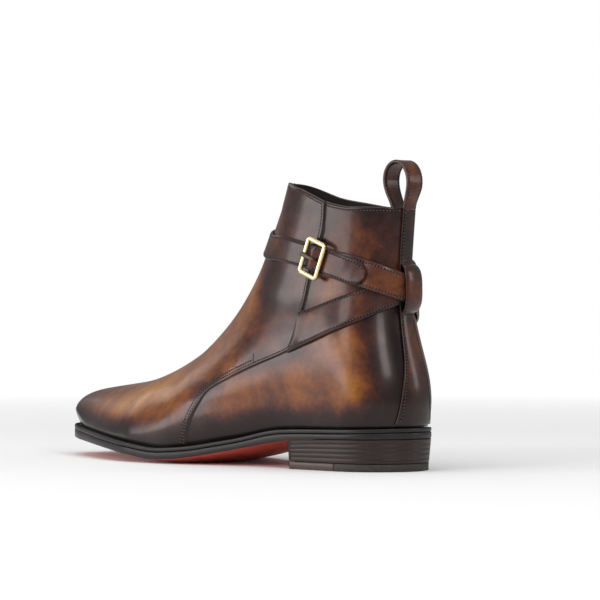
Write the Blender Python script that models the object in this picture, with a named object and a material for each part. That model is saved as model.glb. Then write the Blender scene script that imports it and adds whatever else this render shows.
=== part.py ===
"""A left jodhpur boot: one upper on a leather sole, with a wrap strap, a buckle and a pull loop.

Metres in Blender, but every size below is in millimetres. The toe points along +X, the outer
side of the foot along +Y, up is +Z. The origin is on the floor under the middle of the heel.
"""

import bpy
import numpy as np

# Sizes of the shoe, in millimetres.
WALL = 2.2
GAP = 0.3
WELT_THICK = 2.4
SEAT_EXTRA = 0.2
INSOLE_THICK = 3.0
INSOLE_LEAN = 2.2
TOP_LIFT = 4.4
HEEL_LONG = 72.0
HEEL_MID = 36.0
HEEL_TAPER = 1.0
TIP_MID = 28.0
TIP_SLANT = 9.0
BREAST_CURVE = 4.0
STEP = 1.1
STEP_RUN = 0.8
STEP_COVER = 6.0
SEAM_CLOSE = 0.5
STRAP_THICK = 1.6
STAY_THICK = 1.1
STAY_CLEAR = 1.2
LOOP_THICK = 1.9
INSOLE_CLEAR = 0.5

# Height of a strap's lower face over the upper: on the skin, over the backstay, over another strap.
ON_SKIN = GAP + 0.2
OVER_STAY = 2.0 * GAP + STAY_THICK
OVER_STRAP = ON_SKIN + STRAP_THICK + GAP
OVER_BOTH = OVER_STAY + STRAP_THICK + GAP
# Height of the keeper's lower face where it bulges over both straps.
OVER_ALL = OVER_BOTH + STRAP_THICK + 2.0 * GAP

# Side view of the upper: x from the back of the sole, z from the floor.
FRONT_EDGE = [
    (293.6, 20.0),
    (297.4, 27.0),
    (295.6, 34.0),
    (283.3, 39.5),
    (267.0, 42.2),
    (244.5, 45.0),
    (222.0, 48.4),
    (196.5, 56.4),
    (171.0, 69.6),
    (155.2, 81.6),
    (140.4, 95.0),
    (128.0, 109.0),
    (116.6, 125.0),
    (106.4, 145.0),
    (95.7, 167.0),
]
BACK_EDGE = [
    (2.0, 25.5),
    (1.0, 38.0),
    (2.6, 55.0),
    (8.4, 75.0),
    (12.0, 92.0),
    (12.8, 107.0),
    (11.7, 125.0),
    (9.0, 151.3),
]
FEATHER_EDGE = [
    (2.0, 25.5),
    (35.0, 24.5),
    (72.0, 23.6),
    (90.0, 21.8),
    (108.0, 17.9),
    (126.0, 14.7),
    (143.0, 11.9),
    (157.0, 10.5),
    (172.0, 9.9),
    (195.0, 12.0),
    (229.0, 15.3),
    (265.0, 18.1),
    (293.6, 20.0),
]
COLLAR_EDGE = [
    (9.0, 151.3),
    (30.0, 151.8),
    (48.0, 153.2),
    (62.0, 155.4),
    (75.0, 157.6),
    (84.0, 160.2),
    (95.7, 167.0),
]

# How much higher the flap's top stands on the outer side: x from the back of the sole, height.
FLAP_TALL = [(35, 0), (46, 1.4), (60, 4.4), (73, 6.4), (83, 6.6), (91, 3.6), (96, 0)]

# Half widths of the foot: x, outer side, inner side, swell above the feather edge.
FOOT_WIDTHS = [
    (0, 29.0, 29.0, 2.5),
    (40, 31.5, 30.0, 2.5),
    (75, 32.0, 28.0, 3.0),
    (105, 34.5, 26.5, 4.0),
    (140, 41.0, 31.0, 3.5),
    (170, 46.5, 41.0, 2.5),
    (195, 46.0, 46.5, 2.0),
    (215, 42.0, 47.5, 2.0),
    (240, 34.0, 45.0, 1.5),
    (262, 25.5, 40.0, 1.0),
    (280, 19.0, 35.0, 1.0),
    (304, 15.0, 31.0, 1.0),
]
# Half widths of the leg: z, half width.
LEG_WIDTHS = [(0, 30.0), (60, 31.0), (85, 29.5), (105, 27.5), (125, 26.5), (150, 26.0), (170, 26.0)]
# How far the rounding reaches in from each edge: share of the edge from the sole up, reach.
FRONT_REACH = [(0, 20), (0.08, 20), (0.2, 27), (0.35, 38), (0.55, 48), (0.75, 48), (0.9, 44), (1, 43)]
BACK_REACH = [(0, 31), (0.3, 33), (0.6, 36), (1, 43)]
RIDGE_SHIFT = -7.0
TOE_SWING = -6.0

# Edge of the sole beyond the upper, by x: reach, and the height of its lower edge and of its dome.
SOLE_EDGE = [
    (0, 1.6, 18.8, 0.0),
    (36, 1.9, 18.3, 0.0),
    (72, 2.2, 16.6, 0.0),
    (90, 2.3, 14.2, 1.0),
    (108, 2.8, 10.9, 2.2),
    (126, 3.6, 7.6, 3.0),
    (143, 4.4, 4.8, 3.6),
    (157, 4.8, 3.1, 3.9),
    (172, 5.0, 2.6, 3.9),
    (195, 5.0, 4.7, 3.6),
    (229, 5.0, 7.9, 2.6),
    (265, 4.8, 10.2, 1.8),
    (300, 4.6, 11.8, 0.6),
]

# Edge of the vamp and its flap, which lie over the quarter: height, x from the back of the sole.
SEAM = [
    (8.0, 149.4),
    (20.0, 147.2),
    (29.0, 143.8),
    (38.0, 138.2),
    (44.0, 133.2),
    (53.0, 115.0),
    (60.0, 97.0),
    (67.9, 74.4),
    (69.0, 71.5),
    (70.2, 70.6),
    (79.0, 66.4),
    (97.0, 63.2),
    (109.0, 60.8),
    (128.0, 54.0),
    (142.0, 49.8),
    (156.0, 48.8),
]

# Rows of the upper from the sole to the collar, closer at the toe and where the seam turns.
ROWS = [0, 0.012, 0.03, 0.055, 0.085, 0.12, 0.16, 0.2, 0.24, 0.28, 0.31, 0.335, 0.355, 0.375, 0.395]
ROWS += [0.41, 0.425, 0.44, 0.455, 0.48, 0.52, 0.57, 0.63, 0.69, 0.75, 0.81, 0.87, 0.935, 1.0]

# Paths of the straps: turn, height of the middle, width, height of the lower face over the upper.
WRAP_PATH = [
    (70.5, 80.8, 20.0, ON_SKIN),
    (60.0, 85.0, 19.4, ON_SKIN),
    (46.0, 90.8, 18.2, ON_SKIN),
    (33.0, 95.8, 16.8, ON_SKIN),
    (22.0, 99.6, 16.0, ON_SKIN),
    (12.0, 102.8, 16.0, OVER_STAY),
    (0.0, 106.4, 16.0, OVER_STAY + 0.1),
    (-12.0, 109.0, 16.0, OVER_STAY + 0.1),
    (-24.0, 111.6, 16.0, ON_SKIN + 0.5),
    (-36.0, 113.8, 15.6, ON_SKIN),
    (-48.0, 116.0, 15.2, ON_SKIN),
    (-64.0, 118.4, 15.0, ON_SKIN),
    (-90.0, 121.6, 15.0, ON_SKIN),
    (-120.0, 126.0, 15.0, ON_SKIN),
    (-150.0, 131.0, 15.0, ON_SKIN),
    (-180.0, 133.6, 15.0, ON_SKIN),
    (-213.0, 130.8, 15.0, ON_SKIN),
    (-240.0, 127.6, 15.0, ON_SKIN),
    (-267.0, 124.2, 15.0, ON_SKIN),
    (-273.0, 123.4, 15.0, ON_SKIN),
    (-277.0, 122.9, 15.0, OVER_STRAP - 0.5),
    (-281.0, 122.3, 15.0, OVER_STRAP + 1.1),
    (-284.5, 121.7, 15.0, OVER_STRAP + 0.6),
    (-289.0, 120.9, 15.0, OVER_STRAP - 0.1),
    (-298.4, 118.7, 15.0, OVER_STRAP),
    (-310.0, 115.8, 15.0, OVER_STRAP),
    (-318.0, 113.4, 15.0, OVER_STRAP + 0.5),
    (-325.5, 111.0, 15.0, OVER_STRAP + 1.7),
]
ANCHOR_PATH = [
    (72.0, 120.6, 16.0, ON_SKIN),
    (64.0, 119.3, 16.0, ON_SKIN),
    (50.0, 116.8, 16.0, ON_SKIN),
    (40.0, 114.4, 16.0, ON_SKIN + 0.1),
    (30.0, 112.2, 16.0, OVER_STRAP + 0.2),
    (20.0, 109.6, 16.0, OVER_BOTH - 0.1),
    (12.0, 107.6, 16.0, OVER_BOTH + 0.4),
    (3.0, 105.5, 16.0, OVER_BOTH + 0.5),
    (-10.0, 102.9, 16.0, OVER_BOTH + 0.5),
    (-20.0, 99.4, 16.0, OVER_BOTH + 0.1),
    (-31.0, 95.0, 16.0, OVER_STRAP + 0.5),
    (-44.0, 90.6, 16.0, OVER_STRAP - 0.5),
    (-60.0, 86.0, 16.4, ON_SKIN),
    (-74.0, 82.0, 17.0, ON_SKIN),
]
TAIL_ROUND = 9.0

# Strip up the back: height, outer edge and inner edge in y.
STAY_EDGES = [
    (25.9, 14.4, -15.4),
    (36.0, 12.4, -13.6),
    (47.0, 10.4, -12.0),
    (58.0, 7.6, -10.6),
    (70.0, 5.2, -9.6),
    (81.0, 3.8, -9.0),
    (91.0, 3.2, -8.6),
    (120.0, 3.2, -8.2),
    (150.6, 3.4, -8.0),
]
# Keeper over the straps: height, height of its lower face over the upper.
KEEPER_RISE = [
    (84.6, OVER_STAY),
    (87.4, OVER_STAY + 0.1),
    (89.4, OVER_BOTH + 0.4),
    (91.4, OVER_ALL + 0.1),
    (97.0, OVER_ALL + 0.4),
    (105.0, OVER_ALL + 0.5),
    (111.0, OVER_ALL + 0.4),
    (115.2, OVER_ALL - 0.1),
    (117.8, OVER_BOTH),
    (120.2, OVER_STAY + 0.1),
    (123.4, OVER_STAY),
]
# Pull loop, side view of the middle of the strap, with its width: x from the back of the sole.
LOOP_PATH = [
    (7.9, 152.0, 11.0),
    (6.6, 157.0, 11.6),
    (5.4, 163.5, 12.4),
    (6.0, 171.0, 12.8),
    (9.8, 176.4, 13.0),
    (15.0, 178.2, 13.0),
    (20.6, 175.6, 13.0),
    (23.4, 169.4, 12.8),
    (22.4, 162.0, 12.2),
    (19.0, 154.4, 11.0),
    (17.2, 147.0, 10.4),
    (17.9, 134.0, 10.0),
]
LOOP_Y = -2.3

# Buckle: outside length across the strap, outside width along it, bar, corner, height over the upper.
BUCKLE_TALL = 23.0
BUCKLE_WIDE = 16.6
BUCKLE_BAR = 2.1
BUCKLE_CORNER = 3.0
BUCKLE_RISE = 5.6
BUCKLE_TURN = 78.0
BUCKLE_LEAN = 15.0
MID_BAR = 1.6
MID_BAR_DROP = 3.2
PRONG = 1.4
PRONG_ROOT = 2.4


def curve_through(points, count):
    """A cubic spline through the points, sampled at even steps."""
    p = np.array(points, float)
    t = np.concatenate([[0.0], np.cumsum(np.sqrt(np.linalg.norm(np.diff(p, axis=0), axis=1)))])
    n = len(p)
    h = np.diff(t)
    rows = np.zeros((n, n))
    right = np.zeros((n, p.shape[1]))
    rows[0, 0] = rows[-1, -1] = 1.0
    for i in range(1, n - 1):
        rows[i, i - 1] = h[i - 1]
        rows[i, i] = 2.0 * (h[i - 1] + h[i])
        rows[i, i + 1] = h[i]
        right[i] = 6.0 * ((p[i + 1] - p[i]) / h[i] - (p[i] - p[i - 1]) / h[i - 1])
    m = np.linalg.solve(rows, right)
    q = np.linspace(0.0, t[-1], 20 * n)
    i = np.clip(np.searchsorted(t, q, side="right") - 1, 0, n - 2)
    a = ((t[i + 1] - q) / h[i])[:, None]
    b = 1.0 - a
    size = (h[i] ** 2 / 6.0)[:, None]
    fine = a * p[i] + b * p[i + 1] + ((a**3 - a) * m[i] + (b**3 - b) * m[i + 1]) * size
    along = np.concatenate([[0.0], np.cumsum(np.linalg.norm(np.diff(fine, axis=0), axis=1))])
    even = np.linspace(0.0, along[-1], count)
    return np.stack([np.interp(even, along, column) for column in fine.T], axis=1)


def from_table(rows, at, column=1):
    """The table's column at a place, joined smoothly without overshoot."""
    table = np.array(rows, float)
    xs, ys = table[:, 0], table[:, column]
    h = np.diff(xs)
    slope = np.diff(ys) / h
    m = np.zeros_like(ys)
    for i in range(1, len(xs) - 1):
        if slope[i - 1] * slope[i] > 0:
            first = 2.0 * h[i] + h[i - 1]
            second = h[i] + 2.0 * h[i - 1]
            m[i] = (first + second) / (first / slope[i - 1] + second / slope[i])
    m[0], m[-1] = slope[0], slope[-1]
    x = np.clip(at, xs[0], xs[-1])
    i = np.clip(np.searchsorted(xs, x, side="right") - 1, 0, len(xs) - 2)
    t = (x - xs[i]) / h[i]
    start = (1 + 2 * t) * (1 - t) ** 2 * ys[i] + t * (1 - t) ** 2 * h[i] * m[i]
    end = t * t * (3 - 2 * t) * ys[i + 1] + t * t * (t - 1) * h[i] * m[i + 1]
    return start + end


def ease(value):
    v = np.clip(value, 0.0, 1.0)
    return v * v * (3.0 - 2.0 * v)


def longer(curve, more=25.0):
    """The curve with a straight run added at each end."""
    first = curve[0] - curve[1]
    last = curve[-1] - curve[-2]
    start = curve[0] + first / np.linalg.norm(first) * more
    end = curve[-1] + last / np.linalg.norm(last) * more
    return np.vstack([start, curve, end])


FRONT = curve_through(FRONT_EDGE, 241)
BACK = curve_through(BACK_EDGE, 161)
FEATHER = curve_through(FEATHER_EDGE, 201)
COLLAR = curve_through(COLLAR_EDGE, 121)
LONG_FRONT = longer(FRONT)
LONG_BACK = longer(BACK)


def distance_to(curve, x, z):
    """Distance to a curve of the side view, and the share along it of the nearest point."""
    p = np.stack([x, z], axis=-1)[..., None, :]
    start = curve[:-1]
    run = curve[1:] - start
    t = np.clip(((p - start) * run).sum(-1) / (run * run).sum(-1), 0.0, 1.0)
    away = np.linalg.norm(p - start - t[..., None] * run, axis=-1)
    k = away.argmin(-1)
    nearest = np.take_along_axis(away, k[..., None], -1)[..., 0]
    part = np.take_along_axis(t, k[..., None], -1)[..., 0]
    return nearest, np.clip((k - 1 + part) / (len(curve) - 3), 0.0, 1.0)


def round_in(share):
    r = 1.0 - np.clip(share, 0.0, 1.0)
    return np.sqrt(1.0 - r * r)


def feather_height(x):
    return np.interp(x, FEATHER[:, 0], FEATHER[:, 1])


def half_width(x, z, outer):
    """Half width of the upper at a point of its side view, on the outer side or the inner side."""
    front, front_share = distance_to(LONG_FRONT, x, z)
    back, back_share = distance_to(LONG_BACK, x, z)
    height = z - feather_height(x)
    foot = np.where(outer, from_table(FOOT_WIDTHS, x, 1), from_table(FOOT_WIDTHS, x, 2))
    foot = foot + from_table(FOOT_WIDTHS, x, 3) * (1.0 - (1.0 - np.clip(height / 18.0, 0.0, 1.0)) ** 2)
    blend = ease((height - 25.0) / 55.0)
    flat = foot * (1.0 - blend) + from_table(LEG_WIDTHS, z) * blend
    front_round = round_in(front / from_table(FRONT_REACH, front_share))
    return flat * front_round * round_in(back / from_table(BACK_REACH, back_share))


def middle(x, z):
    """Where the middle of the upper lies in y: the instep ridge and the toe swing inwards."""
    height = np.clip((z - feather_height(x)) / 40.0, 0.0, 1.0)
    ridge = height * np.clip((x - 110.0) / 60.0, 0.0, 1.0) * np.clip((296.0 - x) / 60.0 + 0.25, 0.0, 1.0)
    return RIDGE_SHIFT * ridge + TOE_SWING * np.clip((x - 200.0) / 100.0, 0.0, 1.0) ** 1.5


def along(curve, share):
    k = np.linspace(0.0, 1.0, len(curve))
    return np.stack([np.interp(share, k, curve[:, 0]), np.interp(share, k, curve[:, 1])], axis=-1)


def side_view(rise, share):
    """A point of the side view, blended from its four edges."""
    t, s = rise[..., None], share[..., None]
    low, high = along(FEATHER, share), along(COLLAR, share)
    back, front = along(BACK, rise), along(FRONT, rise)
    corners = (1 - s) * ((1 - t) * FEATHER[0] + t * COLLAR[0]) + s * ((1 - t) * FEATHER[-1] + t * COLLAR[-1])
    return (1 - t) * low + t * high + (1 - s) * back + s * front - corners


def last_point(rise, turn):
    """The last's surface. rise goes 0 to 1 from the feather edge to the collar; turn is in degrees,
    0 at the back, 90 on the outer side, 180 at the front, 270 on the inner side."""
    rise, turn = np.broadcast_arrays(np.asarray(rise, float), np.asarray(turn, float))
    share = (1.0 - np.cos(np.radians(turn))) / 2.0
    flat = side_view(rise, share)
    x, z = flat[..., 0], flat[..., 1]
    outer = np.sin(np.radians(turn)) >= 0
    width = half_width(x, z, outer)
    width = np.where(np.abs(np.sin(np.radians(turn))) < 1e-6, 0.0, width)
    z = z + np.where(outer, from_table(FLAP_TALL, x), 0.0) * ease((rise - 0.8) / 0.2)
    return np.stack([x - HEEL_MID, middle(x, z) + np.where(outer, 1.0, -1.0) * width, z], axis=-1)


def last_normal(rise, turn):
    d = 0.002
    e = 0.4
    up = last_point(np.minimum(rise + d, 1.0), turn) - last_point(np.maximum(rise - d, 0.0), turn)
    around = last_point(rise, turn + e) - last_point(rise, turn - e)
    n = np.cross(up, around)
    return n / np.linalg.norm(n, axis=-1, keepdims=True)


def past_seam(x, z):
    """Distance in front of the edge of the vamp and flap, at x from the back of the sole."""
    slope = from_table(SEAM, z + 0.5) - from_table(SEAM, z - 0.5)
    return (x - from_table(SEAM, z)) / np.sqrt(1.0 + slope * slope)


def skin(rise, turn, lift=None):
    """The outside of the upper with the step at the seam. With a lift, a surface that clears it."""
    p = last_point(rise, turn)
    past = past_seam(p[..., 0] + HEEL_MID, p[..., 2])
    if lift is None:
        out = STEP * ease(past / STEP_RUN + 0.5)
    else:
        out = STEP * ease(past / STEP_COVER + 1.1) + lift
    return p + last_normal(rise, turn) * out[..., None]


def rise_at(turn, height):
    """The rise at which the upper reaches a height, for arrays of turns and heights."""
    steps = np.linspace(0.0, 1.0, 121)
    turn, height = np.broadcast_arrays(np.asarray(turn, float), np.asarray(height, float))
    share = (1.0 - np.cos(np.radians(turn.reshape(-1, 1)))) / 2.0
    share, rise = np.broadcast_arrays(share, steps[None, :])
    levels = side_view(rise, share)[..., 1]
    found = [np.interp(wanted, column, steps) for column, wanted in zip(levels, height.reshape(-1))]
    return np.array(found).reshape(turn.shape)


def closed_grid(grid):
    """Faces of a grid that closes on itself both ways."""
    n, m = grid.shape[:2]
    faces = []
    for i in range(n):
        for j in range(m):
            k, q = (i + 1) % n, (j + 1) % m
            faces.append((i * m + j, i * m + q, k * m + q, k * m + j))
    return grid.reshape(-1, 3), faces


def slab(high, low):
    """Points and faces of the solid between two open grids."""
    n, m = high.shape[:2]
    faces = []
    for i in range(n - 1):
        for j in range(m - 1):
            a, b, c, d = i * m + j, i * m + j + 1, (i + 1) * m + j + 1, (i + 1) * m + j
            faces.append((a, b, c, d))
            faces.append(tuple(n * m + k for k in (d, c, b, a)))
    rim = [(0, j) for j in range(m - 1)] + [(i, m - 1) for i in range(n - 1)]
    rim += [(n - 1, j) for j in range(m - 1, 0, -1)] + [(i, 0) for i in range(n - 1, 0, -1)]
    rim = [i * m + j for i, j in rim]
    for a, b in zip(rim, rim[1:] + rim[:1]):
        faces.append((b, a, n * m + a, n * m + b))
    return np.concatenate([high.reshape(-1, 3), low.reshape(-1, 3)]), faces


def material(name, color, rough, metal=0.0):
    made = bpy.data.materials.new(name)
    made.use_nodes = True
    shader = made.node_tree.nodes["Principled BSDF"]
    shader.inputs["Base Color"].default_value = (*color, 1.0)
    shader.inputs["Roughness"].default_value = rough
    shader.inputs["Metallic"].default_value = metal
    return made


def add(name, solid, color, rough, metal=0.0, smooth=True):
    """One object in its own collection, from points in millimetres."""
    points, faces = solid
    mesh = bpy.data.meshes.new(name)
    mesh.from_pydata((np.asarray(points) / 1000.0).tolist(), [], faces)
    mesh.update()
    if inside_out(points, faces):
        mesh.flip_normals()
    mesh.polygons.foreach_set("use_smooth", [smooth] * len(mesh.polygons))
    mesh.materials.append(material(name, color, rough, metal))
    made = bpy.data.objects.new(name, mesh)
    home = bpy.data.collections.new(name)
    bpy.context.scene.collection.children.link(home)
    home.objects.link(made)
    return made


def inside_out(points, faces):
    volume = 0.0
    for face in faces:
        first = points[face[0]]
        for b, c in zip(face[1:-1], face[2:]):
            volume += np.dot(first, np.cross(points[b], points[c]))
    return volume < 0


def plan_ring(turn, grow):
    """The feather edge in plan, grown outwards, with the height of the edge there."""
    turn = np.asarray(turn, float)
    p = last_point(0.0, turn)
    run = last_point(0.0, turn + 0.5) - last_point(0.0, turn - 0.5)
    out = np.stack([-run[..., 1], run[..., 0]], axis=-1)
    out = out / np.linalg.norm(out, axis=-1, keepdims=True)
    return p[..., :2] + out * np.asarray(grow)[..., None], p[..., 2]


def sole_reach(turn):
    return from_table(SOLE_EDGE, last_point(0.0, turn)[..., 0] + HEEL_MID, 1)


def plate_rows(grow_at, rows, across, first=5.0, last=175.0):
    """Rows across the foot between the two sides of a grown feather edge: plan, edge height, share."""
    turn = np.linspace(first, last, rows)
    outer, height = plan_ring(turn, grow_at(turn))
    inner, inner_height = plan_ring(360.0 - turn, grow_at(360.0 - turn))
    v = np.sin(np.linspace(-90.0, 90.0, across) * np.pi / 180.0)
    share = (v[None, :, None] + 1.0) / 2.0
    plan = inner[:, None, :] * (1.0 - share) + outer[:, None, :] * share
    level = inner_height[:, None] * (1.0 - share[..., 0]) + height[:, None] * share[..., 0]
    return plan, level, np.broadcast_to(v, level.shape)


def with_height(plan, height):
    return np.concatenate([plan, np.broadcast_to(height, plan.shape[:2])[..., None]], axis=-1)


def seam_turn(rise):
    """The turn at which the edge of the vamp and flap crosses each rise, on the outer side."""
    turns = np.linspace(40.0, 130.0, 181)
    rises, turns = np.meshgrid(rise, turns, indexing="ij")
    flat = side_view(rises, (1.0 - np.cos(np.radians(turns))) / 2.0)
    past = past_seam(flat[..., 0], flat[..., 1])
    return np.array([np.interp(0.0, row, turn) for row, turn in zip(past, turns)])


def upper_turns(rise, behind, ahead):
    """Turns of the columns at each rise: two of them stand close on either side of the seam."""
    seam = seam_turn(rise)[:, None]
    close = SEAM_CLOSE
    back = (seam - close) * np.linspace(0.0, 1.0, behind + 1)[None, :]
    front = seam + close + (180.0 - seam - close) * np.linspace(0.0, 1.0, ahead + 1)[None, :]
    outer = np.concatenate([back, front], axis=1)
    return np.concatenate([outer, 360.0 - outer[:, -2:0:-1]], axis=1)


def upper_solid(behind=10, ahead=14):
    rise = np.array(ROWS, float)
    turn = upper_turns(rise, behind, ahead)
    rise = np.broadcast_to(rise[:, None], turn.shape)
    outside = skin(rise, turn)
    outside[0, :, 2] = last_point(0.0, turn[0])[:, 2]
    normal = last_normal(rise, turn)
    around = turn.shape[1]
    flat, _ = plan_ring(turn[0], np.ones(around))
    level = np.zeros_like(normal)
    level[..., :2] = (flat - last_point(0.0, turn[0])[:, :2])[None]
    half = len(rise) // 2
    level[half:] = normal[half:] * np.array([1.0, 1.0, 0.0])
    edge = np.clip(1.0 - rise / 0.09, 0.0, 1.0)[..., None]
    top = np.clip((rise - 0.95) / 0.05, 0.0, 1.0)[..., None]
    normal = normal * (1.0 - edge - top) + level * (edge + top)
    normal = normal / np.linalg.norm(normal, axis=-1, keepdims=True)
    inside = last_point(rise, turn) - normal * WALL
    return closed_grid(np.concatenate([outside, inside[::-1]]))


def outsole_solid():
    plan, level, v = plate_rows(sole_reach, 36, 9)
    x = plan[..., 0] + HEEL_MID
    high = level - 2.0 * GAP - WELT_THICK
    low = from_table(SOLE_EDGE, x, 2) - from_table(SOLE_EDGE, x, 3) * (1.0 - v * v)
    return slab(with_height(plan, high), with_height(plan, np.maximum(low, 0.0)))


def welt_solid():
    plan, level, _ = plate_rows(sole_reach, 36, 3)
    high = level - GAP - SEAT_EXTRA
    return slab(with_height(plan, high), with_height(plan, level - GAP - WELT_THICK))


def inside_wall(turn):
    return 0.0 * turn - WALL - INSOLE_CLEAR


def inside_lean(turn):
    return inside_wall(turn) - INSOLE_LEAN


def insole_solid():
    plan, level, _ = plate_rows(inside_wall, 36, 5, 7.0, 173.0)
    top, _, _ = plate_rows(inside_lean, 36, 5, 7.0, 173.0)
    return slab(with_height(top, level + INSOLE_THICK), with_height(plan, level))


def sole_outline():
    """Outer and inner side of the sole in plan as y by x, from the heel forwards."""
    turn = np.linspace(1.0, 90.0, 200)
    outer, _ = plan_ring(turn, sole_reach(turn))
    inner, _ = plan_ring(360.0 - turn, sole_reach(360.0 - turn))
    return outer, inner


def sole_underside(x):
    """Where the heel meets the sole, at x from the back of the sole."""
    return from_table(SOLE_EDGE, x, 2) - GAP


def heel_solid(start, end, low, high, inset_low, inset_high, rows=14, across=7):
    """A slice of the heel between two lines across it, given as x by share across."""
    outer, inner = sole_outline()
    back = outer[0, 0] + HEEL_MID
    v = np.linspace(-1.0, 1.0, across)[None, :]
    faces = []
    for level, inset in ((high, inset_high), (low, inset_low)):
        x0 = np.maximum(start(v), back + inset)
        x1 = end(v)
        u = (1.0 - np.cos(np.linspace(4.0, 90.0, rows) * np.pi / 180.0))[:, None]
        x = x0 + (x1 - x0) * u if start(0.0) <= back else x0 + (x1 - x0) * np.linspace(0, 1, rows)[:, None]
        drawn = np.clip(x - inset, back, None) - HEEL_MID
        y_outer = np.interp(drawn, outer[:, 0], outer[:, 1]) - inset
        y_inner = np.interp(drawn, inner[:, 0], inner[:, 1]) + inset
        y = (y_outer + y_inner) / 2.0 + v * (y_outer - y_inner) / 2.0
        z = level(x) if callable(level) else level + 0.0 * x
        faces.append(np.stack([x - HEEL_MID, y, z], axis=-1))
    return slab(faces[0], faces[1])


def breast(v):
    return HEEL_LONG - BREAST_CURVE * (1.0 - np.asarray(v) ** 2)


def lift_cut(v):
    """Where the rubber of the top lift ends and the leather insert starts."""
    return TIP_MID + TIP_SLANT * np.asarray(v)


def lift_end(v):
    return lift_cut(v) - GAP


def heel_back(v):
    return np.asarray(v) * 0.0


def strap_solid(path, thick, count, across=5, round_end=0.0):
    """A strap along a path over the upper, lying on its surface."""
    points = np.array(path, float)
    line = curve_through(np.stack([points[:, 0] / 1.2, points[:, 1]], axis=1), 400)
    turn, height = line[:, 0] * 1.2, line[:, 1]
    order = np.argsort(points[:, 0])
    wide = np.interp(turn, points[order, 0], points[order, 2])
    lift = from_table(points[order][:, [0, 3]], turn)
    middle_line = skin(rise_at(turn, height), turn, lift)
    length = np.concatenate([[0.0], np.cumsum(np.linalg.norm(np.diff(middle_line, axis=0), axis=1))])
    at = np.linspace(0.0, length[-1], count)
    left = length[-1] - at
    turn, height, wide, lift = (np.interp(at, length, a) for a in (turn, height, wide, lift))
    if round_end:
        wide = wide * (0.3 + 0.7 * round_in((left + 0.3) / round_end))
    step = 0.6
    rise = rise_at(turn, height)
    by_turn = last_point(rise_at(turn + step, height), turn + step)
    by_turn = by_turn - last_point(rise_at(turn - step, height), turn - step)
    by_height = last_point(rise_at(turn, height + step), turn)
    by_height = by_height - last_point(rise_at(turn, height - step), turn)
    by_turn, by_height = by_turn / (2.0 * step), by_height / (2.0 * step)
    run = np.gradient(np.stack([turn, height], axis=1), axis=0)
    tangent = by_turn * run[:, :1] + by_height * run[:, 1:]
    side = np.cross(last_normal(rise, turn), tangent)
    side = side / np.linalg.norm(side, axis=1, keepdims=True)
    squares = np.stack([by_turn, by_height], axis=2)
    moves = np.linalg.pinv(squares) @ side[:, :, None]
    v = np.linspace(-0.5, 0.5, across)[None, :] * wide[:, None]
    turns = turn[:, None] + moves[:, 0] * v
    heights = height[:, None] + moves[:, 1] * v
    rises = rise_at(turns, heights)
    lifts = np.broadcast_to(lift[:, None], turns.shape)
    return slab(skin(rises, turns, lifts + thick), skin(rises, turns, lifts))


def turn_at_y(height, y):
    """The turn near the back at which the upper reaches a y."""
    turns = np.linspace(-34.0, 34.0, 69)
    found = np.empty(y.shape)
    for k, (z, wanted) in enumerate(zip(height.reshape(-1), y.reshape(-1))):
        found.reshape(-1)[k] = np.interp(wanted, last_point(rise_at(turns, z), turns)[:, 1], turns)
    return found


def stay_lift(height):
    return np.full(height.shape, GAP + 0.1)


def keeper_lift(height):
    return from_table(KEEPER_RISE, height)


def back_strip(low, high, rise_of, thick, rows, across=5):
    """A strip up the back between two heights."""
    height = np.linspace(low, high, rows)[:, None] + np.zeros((1, across))
    share = np.linspace(0.0, 1.0, across)[None, :]
    outer, inner = from_table(STAY_EDGES, height, 1), from_table(STAY_EDGES, height, 2)
    turn = turn_at_y(height, inner * (1.0 - share) + outer * share)
    lift = rise_of(height)
    rise = rise_at(turn, height)
    return slab(skin(rise, turn, lift + thick), skin(rise, turn, lift))


def loop_solid(count=34, across=3):
    line = curve_through(LOOP_PATH, count)
    run = np.gradient(line[:, :2], axis=0)
    run = run / np.linalg.norm(run, axis=1, keepdims=True)
    out = np.stack([-run[:, 1], run[:, 0]], axis=1) * LOOP_THICK / 2.0
    v = np.linspace(-0.5, 0.5, across)[None, :] * line[:, 2:3] + LOOP_Y
    sides = []
    for sign in (1.0, -1.0):
        flat = line[:, :2] + sign * out
        x = np.broadcast_to(flat[:, :1] - HEEL_MID, v.shape)
        z = np.broadcast_to(flat[:, 1:], v.shape)
        sides.append(np.stack([x, v, z], axis=-1))
    return slab(sides[0], sides[1])


def buckle_place():
    """Middle of the buckle, on the strap that it holds: along the strap, across it and outwards."""
    turn = np.array(BUCKLE_TURN)
    path = np.array(WRAP_PATH)[::-1]
    rise = rise_at(turn, from_table(path, BUCKLE_TURN - 360.0))
    out = last_normal(rise, turn)
    lean = np.radians(BUCKLE_LEAN)
    down_back = np.array([-np.cos(lean), 0.0, -np.sin(lean)])
    run = down_back - out * np.dot(down_back, out)
    run = run / np.linalg.norm(run)
    return last_point(rise, turn) + out * BUCKLE_RISE, run, np.cross(out, run), out


def rounded_loop(half_run, half_up, corner, steps=4):
    """Points round a rectangle with round corners."""
    points = []
    for turn, (sx, sy) in zip((0.0, 90.0, 180.0, 270.0), ((1, 1), (-1, 1), (-1, -1), (1, -1))):
        for angle in np.radians(turn + np.linspace(0.0, 90.0, steps + 1)):
            x = sx * (half_run - corner) + corner * np.cos(angle)
            y = sy * (half_up - corner) + corner * np.sin(angle)
            points.append((x, y))
    return np.array(points)


def bar_round(sides, radius):
    angle = np.arange(sides) * 2.0 * np.pi / sides + np.pi / sides
    return np.stack([np.cos(angle), np.sin(angle)], axis=1) * radius


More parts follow.
